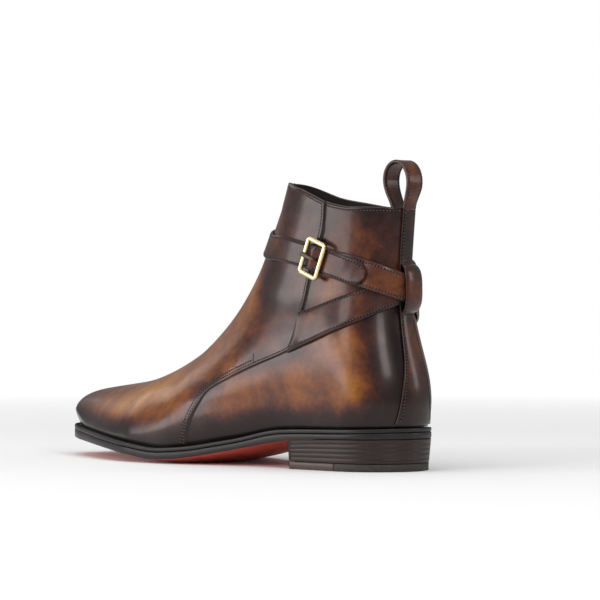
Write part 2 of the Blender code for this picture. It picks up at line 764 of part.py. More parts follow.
def buckle_frame():
    """The frame as a closed grid: a bar swept round a rounded rectangle."""
    home, run, across, out = buckle_place()
    half = BUCKLE_BAR / 2.0
    path = rounded_loop(BUCKLE_WIDE / 2.0 - half, BUCKLE_TALL / 2.0 - half, BUCKLE_CORNER - half)
    tangent = np.roll(path, -1, axis=0) - np.roll(path, 1, axis=0)
    tangent = tangent / np.linalg.norm(tangent, axis=1, keepdims=True)
    side = np.stack([tangent[:, 1], -tangent[:, 0]], axis=1)
    rows = []
    for a, b in bar_round(8, half * 1.06):
        flat = path + side * a
        rows.append(home + flat[:, :1] * run + flat[:, 1:] * across + b * out)
    return closed_grid(np.stack(rows))


def tube(path, radius, sides=8):
    """A round bar along a path of points, given from the buckle's own place."""
    path = np.asarray(path, float)
    run = np.gradient(path, axis=0)
    run = run / np.linalg.norm(run, axis=1, keepdims=True)
    side = np.cross(run, buckle_place()[1] + 0.21 * buckle_place()[3])
    if np.abs(run @ buckle_place()[1]).max() > 0.8:
        side = np.cross(run, buckle_place()[2])
    side = side / np.linalg.norm(side, axis=1, keepdims=True)
    other = np.cross(run, side)
    radius = np.broadcast_to(np.asarray(radius, float), len(path))
    ring = bar_round(sides, 1.0)
    rings = [p + r * (ring @ np.stack([a, b])) for p, r, a, b in zip(path, radius, side, other)]
    faces = []
    for k in range(len(path) - 1):
        for i in range(sides):
            j = (i + 1) % sides
            faces.append((k * sides + i, k * sides + j, (k + 1) * sides + j, (k + 1) * sides + i))
    faces.append(tuple(range(sides))[::-1])
    faces.append(tuple(range((len(path) - 1) * sides, len(path) * sides)))
    return np.concatenate(rings), faces


def from_buckle(points):
    home, run, across, out = buckle_place()
    return [home + a * run + b * across + c * out for a, b, c in points]


def middle_bar():
    reach = BUCKLE_TALL / 2.0 - BUCKLE_BAR / 2.0
    bent = reach - 1.6
    path = [(0, -reach - 0.2, 0), (0, -bent, -MID_BAR_DROP), (0, bent, -MID_BAR_DROP), (0, reach + 0.2, 0)]
    return tube(from_buckle(path), MID_BAR / 2.0)


def prong_solid():
    over = BUCKLE_BAR / 2.0 + GAP + PRONG / 2.0
    tip = -BUCKLE_WIDE / 2.0 - 0.3
    path = [(PRONG_ROOT, 0, 1.15), (0.0, 0, 1.4), (tip + 2.6, 0, over + 0.15), (tip, 0, over - 0.25)]
    return tube(from_buckle(path), [0.35, 0.62, 0.62, 0.4])


def clear_scene():
    for old in list(bpy.data.objects):
        bpy.data.objects.remove(old)


def join_solids(base, cutter, operation):
    change = base.modifiers.new("join", "BOOLEAN")
    change.operation = operation
    change.solver = "EXACT"
    change.object = cutter


def helper(name, solid, home):
    made = add(name, solid, (0.5, 0.5, 0.5), 0.5)
    for collection in list(made.users_collection):
        collection.objects.unlink(made)
        bpy.data.collections.remove(collection)
    home.objects.link(made)
    made.hide_render = True
    made.display_type = "WIRE"
    return made


def build():
    clear_scene()
    leather = (0.16, 0.06, 0.03)
    dark = (0.05, 0.03, 0.025)
    edge = (0.03, 0.025, 0.022)
    gold = (0.85, 0.72, 0.45)
    add("outsole", outsole_solid(), (0.35, 0.06, 0.03), 0.5)
    add("welt", welt_solid(), edge, 0.5)
    add("insole", insole_solid(), (0.30, 0.20, 0.12), 0.8)
    stack = heel_solid(heel_back, breast, TOP_LIFT + GAP, sole_underside, HEEL_TAPER, 0.1)
    add("heel_stack", stack, edge, 0.45)
    rubber = heel_solid(heel_back, lift_end, 0.0, TOP_LIFT, HEEL_TAPER + 0.2, HEEL_TAPER + 0.1)
    add("top_lift", rubber, dark, 0.7)
    insert = heel_solid(lift_cut, breast, 0.0, TOP_LIFT, HEEL_TAPER + 0.2, HEEL_TAPER + 0.1, 8)
    add("top_lift_front", insert, leather, 0.6)
    add("upper", upper_solid(), leather, 0.35)
    stay = back_strip(STAY_EDGES[0][0] + STAY_CLEAR, STAY_EDGES[-1][0], stay_lift, STAY_THICK, 26)
    add("backstay", stay, leather, 0.35)
    keeper = back_strip(KEEPER_RISE[0][0], KEEPER_RISE[-1][0], keeper_lift, STAY_THICK, 24)
    add("keeper", keeper, leather, 0.35)
    add("pull_loop", loop_solid(), leather, 0.4)
    add("wrap_strap", strap_solid(WRAP_PATH, STRAP_THICK, 84, 3, TAIL_ROUND), dark, 0.35)
    add("buckle_strap", strap_solid(ANCHOR_PATH, STRAP_THICK, 40, 3), dark, 0.35)
    frame = add("buckle", buckle_frame(), gold, 0.3, 1.0)
    cutters = bpy.data.collections.new("helpers")
    bpy.context.scene.collection.children.link(cutters)
    cutters.hide_render = True
    join_solids(frame, helper("middle_bar", middle_bar(), cutters), "UNION")
    add("prong", prong_solid(), gold, 0.3, 1.0)


build()
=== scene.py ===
"""A left jodhpur boot in patina calf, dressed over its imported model.

The tables below give the boot's surface in millimetres, as the model's own source has it. The toe
points along +X, the outer side of the foot along +Y. x in a table counts from the back of the sole.
"""

import math

import bpy
import numpy as np
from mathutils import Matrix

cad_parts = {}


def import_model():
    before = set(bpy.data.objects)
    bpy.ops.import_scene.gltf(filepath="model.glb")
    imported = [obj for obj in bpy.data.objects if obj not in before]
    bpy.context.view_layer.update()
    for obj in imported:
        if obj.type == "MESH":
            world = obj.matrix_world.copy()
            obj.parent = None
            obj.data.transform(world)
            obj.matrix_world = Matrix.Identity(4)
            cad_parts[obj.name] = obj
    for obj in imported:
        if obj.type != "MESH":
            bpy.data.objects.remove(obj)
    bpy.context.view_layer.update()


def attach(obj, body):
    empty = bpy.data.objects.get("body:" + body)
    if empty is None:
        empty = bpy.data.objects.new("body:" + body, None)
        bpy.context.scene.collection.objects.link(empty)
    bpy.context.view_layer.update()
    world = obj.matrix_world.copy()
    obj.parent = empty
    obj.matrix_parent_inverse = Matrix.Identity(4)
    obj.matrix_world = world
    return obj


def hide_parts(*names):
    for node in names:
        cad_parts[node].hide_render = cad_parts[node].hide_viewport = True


# Sizes of the shoe, in millimetres.
WALL = 2.2
GAP = 0.3
WELT_THICK = 2.4
SEAT_EXTRA = 0.2
INSOLE_THICK = 3.0
INSOLE_LEAN = 2.2
TOP_LIFT = 4.4
HEEL_LONG = 72.0
HEEL_MID = 36.0
HEEL_TAPER = 1.0
TIP_MID = 28.0
TIP_SLANT = 9.0
BREAST_CURVE = 4.0
STEP = 1.1
STEP_RUN = 0.8
STEP_COVER = 6.0
STRAP_THICK = 1.6
STAY_THICK = 1.1
STAY_CLEAR = 1.2
LOOP_THICK = 1.9
INSOLE_CLEAR = 0.5

# Height of a strap's lower face over the upper: on the skin, over the backstay, over another strap.
ON_SKIN = GAP + 0.2
OVER_STAY = 2.0 * GAP + STAY_THICK
OVER_STRAP = ON_SKIN + STRAP_THICK + GAP
OVER_BOTH = OVER_STAY + STRAP_THICK + GAP

# Side view of the upper: x from the back of the sole, z from the floor.
FRONT_EDGE = [
    (293.6, 20.0), (297.4, 27.0), (295.6, 34.0), (283.3, 39.5), (267.0, 42.2), (244.5, 45.0),
    (222.0, 48.4), (196.5, 56.4), (171.0, 69.6), (155.2, 81.6), (140.4, 95.0), (128.0, 109.0),
    (116.6, 125.0), (106.4, 145.0), (95.7, 167.0),
]
BACK_EDGE = [
    (2.0, 25.5), (1.0, 38.0), (2.6, 55.0), (8.4, 75.0), (12.0, 92.0), (12.8, 107.0), (11.7, 125.0),
    (9.0, 151.3),
]
FEATHER_EDGE = [
    (2.0, 25.5), (35.0, 24.5), (72.0, 23.6), (90.0, 21.8), (108.0, 17.9), (126.0, 14.7), (143.0, 11.9),
    (157.0, 10.5), (172.0, 9.9), (195.0, 12.0), (229.0, 15.3), (265.0, 18.1), (293.6, 20.0),
]
COLLAR_EDGE = [
    (9.0, 151.3), (30.0, 151.8), (48.0, 153.2), (62.0, 155.4), (75.0, 157.6), (84.0, 160.2),
    (95.7, 167.0),
]

# How much higher the flap's top stands on the outer side: x from the back of the sole, height.
FLAP_TALL = [(35, 0), (46, 1.4), (60, 4.4), (73, 6.4), (83, 6.6), (91, 3.6), (96, 0)]

# Half widths of the foot: x, outer side, inner side, swell above the feather edge.
FOOT_WIDTHS = [
    (0, 29.0, 29.0, 2.5), (40, 31.5, 30.0, 2.5), (75, 32.0, 28.0, 3.0), (105, 34.5, 26.5, 4.0),
    (140, 41.0, 31.0, 3.5), (170, 46.5, 41.0, 2.5), (195, 46.0, 46.5, 2.0), (215, 42.0, 47.5, 2.0),
    (240, 34.0, 45.0, 1.5), (262, 25.5, 40.0, 1.0), (280, 19.0, 35.0, 1.0), (304, 15.0, 31.0, 1.0),
]
# Half widths of the leg: z, half width.
LEG_WIDTHS = [(0, 30.0), (60, 31.0), (85, 29.5), (105, 27.5), (125, 26.5), (150, 26.0), (170, 26.0)]
# How far the rounding reaches in from each edge: share of the edge from the sole up, reach.
FRONT_REACH = [(0, 20), (0.08, 20), (0.2, 27), (0.35, 38), (0.55, 48), (0.75, 48), (0.9, 44), (1, 43)]
BACK_REACH = [(0, 31), (0.3, 33), (0.6, 36), (1, 43)]
RIDGE_SHIFT = -7.0
TOE_SWING = -6.0

# Edge of the sole beyond the upper, by x: reach, and the height of its lower edge and of its dome.
SOLE_EDGE = [
    (0, 1.6, 18.8, 0.0), (36, 1.9, 18.3, 0.0), (72, 2.2, 16.6, 0.0), (90, 2.3, 14.2, 1.0),
    (108, 2.8, 10.9, 2.2), (126, 3.6, 7.6, 3.0), (143, 4.4, 4.8, 3.6), (157, 4.8, 3.1, 3.9),
    (172, 5.0, 2.6, 3.9), (195, 5.0, 4.7, 3.6), (229, 5.0, 7.9, 2.6), (265, 4.8, 10.2, 1.8),
    (300, 4.6, 11.8, 0.6),
]

# Edge of the vamp and its flap, which lie over the quarter: height, x from the back of the sole.
SEAM = [
    (8.0, 149.4), (20.0, 147.2), (29.0, 143.8), (38.0, 138.2), (44.0, 133.2), (53.0, 115.0),
    (60.0, 97.0), (67.9, 74.4), (69.0, 71.5), (70.2, 70.6), (79.0, 66.4), (97.0, 63.2), (109.0, 60.8),
    (128.0, 54.0), (142.0, 49.8), (156.0, 48.8),
]

# Paths of the straps: turn, height of the middle, width, height of the lower face over the upper.
WRAP_PATH = [
    (70.5, 80.8, 20.0, ON_SKIN), (60.0, 85.0, 19.4, ON_SKIN), (46.0, 90.8, 18.2, ON_SKIN),
    (33.0, 95.8, 16.8, ON_SKIN), (22.0, 99.6, 16.0, ON_SKIN), (12.0, 102.8, 16.0, OVER_STAY),
    (0.0, 106.4, 16.0, OVER_STAY + 0.1), (-12.0, 109.0, 16.0, OVER_STAY + 0.1),
    (-24.0, 111.6, 16.0, ON_SKIN + 0.5), (-36.0, 113.8, 15.6, ON_SKIN), (-48.0, 116.0, 15.2, ON_SKIN),
    (-64.0, 118.4, 15.0, ON_SKIN), (-90.0, 121.6, 15.0, ON_SKIN), (-120.0, 126.0, 15.0, ON_SKIN),
    (-150.0, 131.0, 15.0, ON_SKIN), (-180.0, 133.6, 15.0, ON_SKIN), (-213.0, 130.8, 15.0, ON_SKIN),
    (-240.0, 127.6, 15.0, ON_SKIN), (-267.0, 124.2, 15.0, ON_SKIN), (-273.0, 123.4, 15.0, ON_SKIN),
    (-277.0, 122.9, 15.0, OVER_STRAP - 0.5), (-281.0, 122.3, 15.0, OVER_STRAP + 1.1),
    (-284.5, 121.7, 15.0, OVER_STRAP + 0.6), (-289.0, 120.9, 15.0, OVER_STRAP - 0.1),
    (-298.4, 118.7, 15.0, OVER_STRAP), (-310.0, 115.8, 15.0, OVER_STRAP),
    (-318.0, 113.4, 15.0, OVER_STRAP + 0.5), (-325.5, 111.0, 15.0, OVER_STRAP + 1.7),
]
ANCHOR_PATH = [
    (72.0, 120.6, 16.0, ON_SKIN), (64.0, 119.3, 16.0, ON_SKIN), (50.0, 116.8, 16.0, ON_SKIN),
    (40.0, 114.4, 16.0, ON_SKIN + 0.1), (30.0, 112.2, 16.0, OVER_STRAP + 0.2),
    (20.0, 109.6, 16.0, OVER_BOTH - 0.1), (12.0, 107.6, 16.0, OVER_BOTH + 0.4),
    (3.0, 105.5, 16.0, OVER_BOTH + 0.5), (-10.0, 102.9, 16.0, OVER_BOTH + 0.5),
    (-20.0, 99.4, 16.0, OVER_BOTH + 0.1), (-31.0, 95.0, 16.0, OVER_STRAP + 0.5),
    (-44.0, 90.6, 16.0, OVER_STRAP - 0.5), (-60.0, 86.0, 16.4, ON_SKIN), (-74.0, 82.0, 17.0, ON_SKIN),
]
TAIL_ROUND = 9.0

# Strip up the back: height, outer edge and inner edge in y.
STAY_EDGES = [
    (25.9, 14.4, -15.4), (36.0, 12.4, -13.6), (47.0, 10.4, -12.0), (58.0, 7.6, -10.6),
    (70.0, 5.2, -9.6), (81.0, 3.8, -9.0), (91.0, 3.2, -8.6), (120.0, 3.2, -8.2), (150.6, 3.4, -8.0),
]
# Pull loop, side view of the middle of the strap, with its width: x from the back of the sole.
LOOP_PATH = [
    (7.9, 152.0, 11.0), (6.6, 157.0, 11.6), (5.4, 163.5, 12.4), (6.0, 171.0, 12.8), (9.8, 176.4, 13.0),
    (15.0, 178.2, 13.0), (20.6, 175.6, 13.0), (23.4, 169.4, 12.8), (22.4, 162.0, 12.2),
    (19.0, 154.4, 11.0), (17.2, 147.0, 10.4), (17.9, 134.0, 10.0),
]
LOOP_Y = -2.3

# Buckle: outside length across the strap, outside width along it, bar, corner, height over the upper.
BUCKLE_TALL = 23.0
BUCKLE_WIDE = 16.6
BUCKLE_BAR = 2.1
BUCKLE_CORNER = 3.0
BUCKLE_RISE = 5.6
BUCKLE_TURN = 78.0
BUCKLE_LEAN = 21.0
MID_BAR = 1.6
MID_BAR_DROP = 3.2
PRONG = 1.4
PRONG_ROOT = 2.4

# The surface is worked out for so many points at once, and kept at so many rows and at each so many degrees.
AT_ONCE = 4000
TABLE_ROWS = 181
TABLE_STEP = 1.0


def unit(v):
    return v / np.linalg.norm(v, axis=-1, keepdims=True)


def run_length(line):
    """Length along a line of points, up to each of them."""
    return np.concatenate([[0.0], np.cumsum(np.linalg.norm(np.diff(line, axis=0), axis=1))])


def sampled(line, known, at):
    """The line's points at new places, where known holds the place of each of its own points."""
    return np.stack([np.interp(at, known, column) for column in line.T], axis=1)


def edge_share(turn):
    """How far forwards a turn lies, from 0 at the back to 1 at the front."""
    return (1.0 - np.cos(np.radians(turn))) / 2.0


def curve_through(points, count):
    """A cubic spline through the points, sampled at even steps."""
    p = np.array(points, float)
    t = np.concatenate([[0.0], np.cumsum(np.sqrt(np.linalg.norm(np.diff(p, axis=0), axis=1)))])
    n = len(p)
    h = np.diff(t)
    rows = np.zeros((n, n))
    right = np.zeros((n, p.shape[1]))
    rows[0, 0] = rows[-1, -1] = 1.0
    for i in range(1, n - 1):
        rows[i, i - 1] = h[i - 1]
        rows[i, i] = 2.0 * (h[i - 1] + h[i])
        rows[i, i + 1] = h[i]
        right[i] = 6.0 * ((p[i + 1] - p[i]) / h[i] - (p[i] - p[i - 1]) / h[i - 1])
    m = np.linalg.solve(rows, right)
    q = np.linspace(0.0, t[-1], 20 * n)
    i = np.clip(np.searchsorted(t, q, side="right") - 1, 0, n - 2)
    a = ((t[i + 1] - q) / h[i])[:, None]
    b = 1.0 - a
    size = (h[i] ** 2 / 6.0)[:, None]
    fine = a * p[i] + b * p[i + 1] + ((a**3 - a) * m[i] + (b**3 - b) * m[i + 1]) * size
    along = run_length(fine)
    even = np.linspace(0.0, along[-1], count)
    return sampled(fine, along, even)


def from_table(rows, at, column=1):
    """The table's column at a place, joined smoothly without overshoot."""
    table = np.array(rows, float)
    xs, ys = table[:, 0], table[:, column]
    h = np.diff(xs)
    slope = np.diff(ys) / h
    m = np.zeros_like(ys)
    for i in range(1, len(xs) - 1):
        if slope[i - 1] * slope[i] > 0:
            first = 2.0 * h[i] + h[i - 1]
            second = h[i] + 2.0 * h[i - 1]
            m[i] = (first + second) / (first / slope[i - 1] + second / slope[i])
    m[0], m[-1] = slope[0], slope[-1]
    x = np.clip(at, xs[0], xs[-1])
    i = np.clip(np.searchsorted(xs, x, side="right") - 1, 0, len(xs) - 2)
    t = (x - xs[i]) / h[i]
    start = (1 + 2 * t) * (1 - t) ** 2 * ys[i] + t * (1 - t) ** 2 * h[i] * m[i]
    end = t * t * (3 - 2 * t) * ys[i + 1] + t * t * (t - 1) * h[i] * m[i + 1]
    return start + end


def ease(value):
    v = np.clip(value, 0.0, 1.0)
    return v * v * (3.0 - 2.0 * v)


def longer(curve, more=25.0):
    """The curve with a straight run added at each end."""
    start = curve[0] + unit(curve[0] - curve[1]) * more
    end = curve[-1] + unit(curve[-1] - curve[-2]) * more
    return np.vstack([start, curve, end])


FRONT = curve_through(FRONT_EDGE, 241)
BACK = curve_through(BACK_EDGE, 161)
FEATHER = curve_through(FEATHER_EDGE, 201)
COLLAR = curve_through(COLLAR_EDGE, 121)
LONG_FRONT = longer(FRONT)
LONG_BACK = longer(BACK)


def distance_to(curve, x, z):
    """Distance to a curve of the side view, and the share along it of the nearest point."""
    x, z = np.broadcast_arrays(x, z)
    flat = np.stack([x.reshape(-1), z.reshape(-1)], axis=-1)[:, None, :]
    start = curve[:-1]
    run = curve[1:] - start
    squares = (run * run).sum(-1)
    nearest, place = np.empty(len(flat)), np.empty(len(flat))
    for first in range(0, len(flat), AT_ONCE):
        p = flat[first : first + AT_ONCE]
        t = np.clip(((p - start) * run).sum(-1) / squares, 0.0, 1.0)
        away = np.linalg.norm(p - start - t[..., None] * run, axis=-1)
        k = away.argmin(-1)
        row = np.arange(len(k))
        nearest[first : first + AT_ONCE] = away[row, k]
        place[first : first + AT_ONCE] = k - 1 + t[row, k]
    share = np.clip(place / (len(curve) - 3), 0.0, 1.0)
    return nearest.reshape(x.shape), share.reshape(x.shape)


def round_in(share):
    r = 1.0 - np.clip(share, 0.0, 1.0)
    return np.sqrt(1.0 - r * r)


def feather_height(x):
    return np.interp(x, FEATHER[:, 0], FEATHER[:, 1])


def half_width(x, z, outer):
    """Half width of the upper at a point of its side view, on the outer side or the inner side."""
    front, front_share = distance_to(LONG_FRONT, x, z)
    back, back_share = distance_to(LONG_BACK, x, z)
    height = z - feather_height(x)
    foot = np.where(outer, from_table(FOOT_WIDTHS, x, 1), from_table(FOOT_WIDTHS, x, 2))
    foot = foot + from_table(FOOT_WIDTHS, x, 3) * (1.0 - (1.0 - np.clip(height / 18.0, 0.0, 1.0)) ** 2)
    blend = ease((height - 25.0) / 55.0)
    flat = foot * (1.0 - blend) + from_table(LEG_WIDTHS, z) * blend
    front_round = round_in(front / from_table(FRONT_REACH, front_share))
    return flat * front_round * round_in(back / from_table(BACK_REACH, back_share))


def middle(x, z):
    """Where the middle of the upper lies in y: the instep ridge and the toe swing inwards."""
    height = np.clip((z - feather_height(x)) / 40.0, 0.0, 1.0)
    ridge = height * np.clip((x - 110.0) / 60.0, 0.0, 1.0) * np.clip((296.0 - x) / 60.0 + 0.25, 0.0, 1.0)
    return RIDGE_SHIFT * ridge + TOE_SWING * np.clip((x - 200.0) / 100.0, 0.0, 1.0) ** 1.5


def along(curve, share):
    k = np.linspace(0.0, 1.0, len(curve))
    return np.stack([np.interp(share, k, curve[:, 0]), np.interp(share, k, curve[:, 1])], axis=-1)


def side_view(rise, share):
    """A point of the side view, blended from its four edges."""
    t, s = rise[..., None], share[..., None]
    low, high = along(FEATHER, share), along(COLLAR, share)
    back, front = along(BACK, rise), along(FRONT, rise)
    corners = (1 - s) * ((1 - t) * FEATHER[0] + t * COLLAR[0]) + s * ((1 - t) * FEATHER[-1] + t * COLLAR[-1])
    return (1 - t) * low + t * high + (1 - s) * back + s * front - corners


def exact_point(rise, turn):
    """The last's surface. rise goes 0 to 1 from the feather edge to the collar; turn is in degrees,
    0 at the back, 90 on the outer side, 180 at the front, 270 on the inner side."""
    rise, turn = np.broadcast_arrays(np.asarray(rise, float), np.asarray(turn, float))
    share = edge_share(turn)
    flat = side_view(rise, share)
    x, z = flat[..., 0], flat[..., 1]
    outer = np.sin(np.radians(turn)) >= 0
    width = half_width(x, z, outer)
    width = np.where(np.abs(np.sin(np.radians(turn))) < 1e-6, 0.0, width)
    z = z + np.where(outer, from_table(FLAP_TALL, x), 0.0) * ease((rise - 0.8) / 0.2)
    return np.stack([x - HEEL_MID, middle(x, z) + np.where(outer, 1.0, -1.0) * width, z], axis=-1)


def exact_normal(rise, turn):
    d = 0.002
    e = 0.4
    up = exact_point(np.minimum(rise + d, 1.0), turn) - exact_point(np.maximum(rise - d, 0.0), turn)
    around = exact_point(rise, turn + e) - exact_point(rise, turn - e)
    n = np.cross(up, around)
    return unit(n)


def surface_tables():
    """Points and normals of the last at even steps of rise and turn, with a row more at each end."""
    rise = np.linspace(0.0, 1.0, TABLE_ROWS)
    turn = np.arange(0.0, 360.0, TABLE_STEP)
    rises, turns = np.meshgrid(rise, turn, indexing="ij")
    tables = []
    for table in (exact_point(rises, turns), exact_normal(rises, turns)):
        first, last = 2.0 * table[:1] - table[1:2], 2.0 * table[-1:] - table[-2:-1]
        tables.append(np.concatenate([first, table, last]))
    return tables


def cubic(f):
    """Weights of four neighbours for a place between the middle two."""
    return (
        -0.5 * f**3 + f**2 - 0.5 * f,
        1.5 * f**3 - 2.5 * f**2 + 1.0,
        -1.5 * f**3 + 2.0 * f**2 + 0.5 * f,
        0.5 * f**3 - 0.5 * f**2,
    )


def look_up(table, rise, turn):
    rise, turn = np.broadcast_arrays(np.asarray(rise, float), np.asarray(turn, float))
    r = np.clip(rise, 0.0, 1.0) * (TABLE_ROWS - 1)
    i = np.clip(np.floor(r).astype(int), 0, TABLE_ROWS - 2)
    t = turn / TABLE_STEP
    j = np.floor(t).astype(int)
    around = table.shape[1]
    total = 0.0
    for a, by_rise in enumerate(cubic(r - i)):
        for b, by_turn in enumerate(cubic(t - j)):
            total = total + table[i + a, (j + b - 1) % around] * (by_rise * by_turn)[..., None]
    return total


def last_point(rise, turn):
    return look_up(POINT_TABLE, rise, turn)


def last_normal(rise, turn):
    return unit(look_up(NORMAL_TABLE, rise, turn))


POINT_TABLE, NORMAL_TABLE = surface_tables()


def past_seam(x, z):
    """Distance in front of the edge of the vamp and flap, at x from the back of the sole."""
    slope = from_table(SEAM, z + 0.5) - from_table(SEAM, z - 0.5)
    return (x - from_table(SEAM, z)) / np.sqrt(1.0 + slope * slope)


def skin(rise, turn, lift=None):
    """The outside of the upper with the step at the seam. With a lift, a surface that clears it."""
    p = last_point(rise, turn)
    past = past_seam(p[..., 0] + HEEL_MID, p[..., 2])
    if lift is None:
        out = STEP * ease(past / STEP_RUN + 0.5)
    else:
        out = STEP * ease(past / STEP_COVER + 1.1) + lift
    return p + last_normal(rise, turn) * out[..., None]


def rise_at(turn, height):
    """The rise at which the upper reaches a height, for arrays of turns and heights."""
    steps = np.linspace(0.0, 1.0, 121)
    turn, height = np.broadcast_arrays(np.asarray(turn, float), np.asarray(height, float))
    share = edge_share(turn.reshape(-1, 1))
    share, rise = np.broadcast_arrays(share, steps[None, :])
    levels = side_view(rise, share)[..., 1]
    found = [np.interp(wanted, column, steps) for column, wanted in zip(levels, height.reshape(-1))]
    return np.array(found).reshape(turn.shape)


def at_height(turn, height):
    """The last's points at turns and heights."""
    return last_point(rise_at(turn, height), turn)


def rim_of(n, m):
    """Rows and columns of the points round the rim of a grid, in order."""
    rim = [(0, j) for j in range(m - 1)] + [(i, m - 1) for i in range(n - 1)]
    return rim + [(n - 1, j) for j in range(m - 1, 0, -1)] + [(i, 0) for i in range(n - 1, 0, -1)]


def slab(high, low):
    """Points and faces of the solid between two open grids."""
    n, m = high.shape[:2]
    faces = []
    for i in range(n - 1):
        for j in range(m - 1):
            a, b, c, d = i * m + j, i * m + j + 1, (i + 1) * m + j + 1, (i + 1) * m + j
            faces.append((a, b, c, d))
            faces.append(tuple(n * m + k for k in (d, c, b, a)))
    rim = [(0, j) for j in range(m - 1)] + [(i, m - 1) for i in range(n - 1)]
    rim += [(n - 1, j) for j in range(m - 1, 0, -1)] + [(i, 0) for i in range(n - 1, 0, -1)]
    rim = [i * m + j for i, j in rim]
    for a, b in zip(rim, rim[1:] + rim[:1]):
        faces.append((b, a, n * m + a, n * m + b))
    return np.concatenate([high.reshape(-1, 3), low.reshape(-1, 3)]), faces


def plan_ring(turn, grow):
    """The feather edge in plan, grown outwards, with the height of the edge there."""
    turn = np.asarray(turn, float)
    p = last_point(0.0, turn)
    run = last_point(0.0, turn + 0.5) - last_point(0.0, turn - 0.5)
    out = unit(np.stack([-run[..., 1], run[..., 0]], axis=-1))
    return p[..., :2] + out * np.asarray(grow)[..., None], p[..., 2]


def sole_reach(turn):
    return from_table(SOLE_EDGE, last_point(0.0, turn)[..., 0] + HEEL_MID, 1)


def plate_rows(grow_at, rows, across, first=5.0, last=175.0):
    """Rows across the foot between the two sides of a grown feather edge: plan, edge height, share."""
    turn = np.linspace(first, last, rows)
    outer, height = plan_ring(turn, grow_at(turn))
    inner, inner_height = plan_ring(360.0 - turn, grow_at(360.0 - turn))
    v = np.sin(np.linspace(-90.0, 90.0, across) * np.pi / 180.0)
    share = (v[None, :, None] + 1.0) / 2.0
    plan = inner[:, None, :] * (1.0 - share) + outer[:, None, :] * share
    level = inner_height[:, None] * (1.0 - share[..., 0]) + height[:, None] * share[..., 0]
    return plan, level, np.broadcast_to(v, level.shape)


def with_height(plan, height):
    return np.concatenate([plan, np.broadcast_to(height, plan.shape[:2])[..., None]], axis=-1)


def seam_turn(rise):
    """The turn at which the edge of the vamp and flap crosses each rise, on the outer side."""
    turns = np.linspace(40.0, 130.0, 181)
    rises, turns = np.meshgrid(rise, turns, indexing="ij")
    flat = side_view(rises, edge_share(turns))
    past = past_seam(flat[..., 0], flat[..., 1])
    return np.array([np.interp(0.0, row, turn) for row, turn in zip(past, turns)])


def inside_wall(turn):
    return 0.0 * turn - WALL - INSOLE_CLEAR


def inside_lean(turn):
    return inside_wall(turn) - INSOLE_LEAN


def sole_outline():
    """Outer and inner side of the sole in plan as y by x, from the heel forwards."""
    turn = np.linspace(1.0, 90.0, 200)
    outer, _ = plan_ring(turn, sole_reach(turn))
    inner, _ = plan_ring(360.0 - turn, sole_reach(360.0 - turn))
    return outer, inner


def sole_underside(x):
    """Where the heel meets the sole, at x from the back of the sole."""
    return from_table(SOLE_EDGE, x, 2) - GAP


def breast(v):
    return HEEL_LONG - BREAST_CURVE * (1.0 - np.asarray(v) ** 2)


def lift_cut(v):
    """Where the rubber of the top lift ends and the leather insert starts."""
    return TIP_MID + TIP_SLANT * np.asarray(v)


def lift_end(v):
    return lift_cut(v) - GAP


def heel_back(v):
    return np.asarray(v) * 0.0


def turn_at_y(height, y):
    """The turn near the back at which the upper reaches a y."""
    turns = np.linspace(-34.0, 34.0, 69)
    found = np.empty(y.shape)
    for k, (z, wanted) in enumerate(zip(height.reshape(-1), y.reshape(-1))):
        found.reshape(-1)[k] = np.interp(wanted, at_height(turns, z)[:, 1], turns)
    return found


def stay_lift(height):
    return np.full(height.shape, GAP + 0.1)


def buckle_place():
    """Middle of the buckle, on the strap that it holds: along the strap, across it and outwards."""
    turn = np.array(BUCKLE_TURN)
    path = np.array(WRAP_PATH)[::-1]
    rise = rise_at(turn, from_table(path, BUCKLE_TURN - 360.0))
    out = last_normal(rise, turn)
    lean = np.radians(BUCKLE_LEAN)
    down_back = np.array([-np.cos(lean), 0.0, -np.sin(lean)])
    run = down_back - out * np.dot(down_back, out)
    run = run / np.linalg.norm(run)
    return last_point(rise, turn) + out * BUCKLE_RISE, run, np.cross(out, run), out


def rounded_loop(half_run, half_up, corner, steps=4):
    """Points round a rectangle with round corners."""
    points = []
    for turn, (sx, sy) in zip((0.0, 90.0, 180.0, 270.0), ((1, 1), (-1, 1), (-1, -1), (1, -1))):
        for angle in np.radians(turn + np.linspace(0.0, 90.0, steps + 1)):
            x = sx * (half_run - corner) + corner * np.cos(angle)
            y = sy * (half_up - corner) + corner * np.sin(angle)
            points.append((x, y))
    return np.array(points)


# What the dressed boot adds to the shapes of its source.

# Places on the upper that are lighter or darker, mostly the dye's own tone; the lighter outer-quarter spots at
# x 62 and x 102 also paint in the sheen of a highlight: side, x, z, reach along, reach up, tone.
DYE_AND_SHEEN = [
    ("both", 182, 46, 36, 18, 0.44), ("both", 218, 34, 26, 12, 0.36), ("both", 252, 34, 22, 12, 0.20),
    ("both", 146, 70, 26, 20, 0.30), ("both", 118, 104, 15, 24, 0.28), ("both", 96, 150, 10, 22, 0.04),
    ("both", 84, 100, 20, 34, -0.10), ("outer", 24, 50, 12, 13, 0.42), ("outer", 66, 35, 42, 5, 0.24),
    ("outer", 102, 48, 24, 13, 0.28), ("outer", 34, 72, 16, 11, 0.24), ("outer", 62, 54, 24, 12, 0.26),
    ("inner", 30, 60, 22, 30, 0.40), ("inner", 96, 48, 34, 14, 0.30), ("both", 26, 128, 12, 14, 0.07),
    ("both", 42, 104, 10, 9, 0.12), ("both", 300, 28, 17, 26, -0.30), ("both", 6, 50, 9, 40, -0.30),
    ("outer", 14, 78, 8, 22, -0.20),
]
BASE_TONE = 0.36
# Height over the sole's edge at which the dark band of the dye ends.
SOLE_DARK = 19.0
# Lower corner of the flap: x from the back of the sole, height.
FLAP_CORNER = (70.6, 70.2)
# How much nearer to the upper the lower edge of the buckle strap lies, by turn.
STRAP_LEAN = [(-74, 0), (-60, 0.1), (-44, 1.3), (-31, 2.4), (-20, 2.9), (-8, 2.0), (2, 0), (72, 0)]
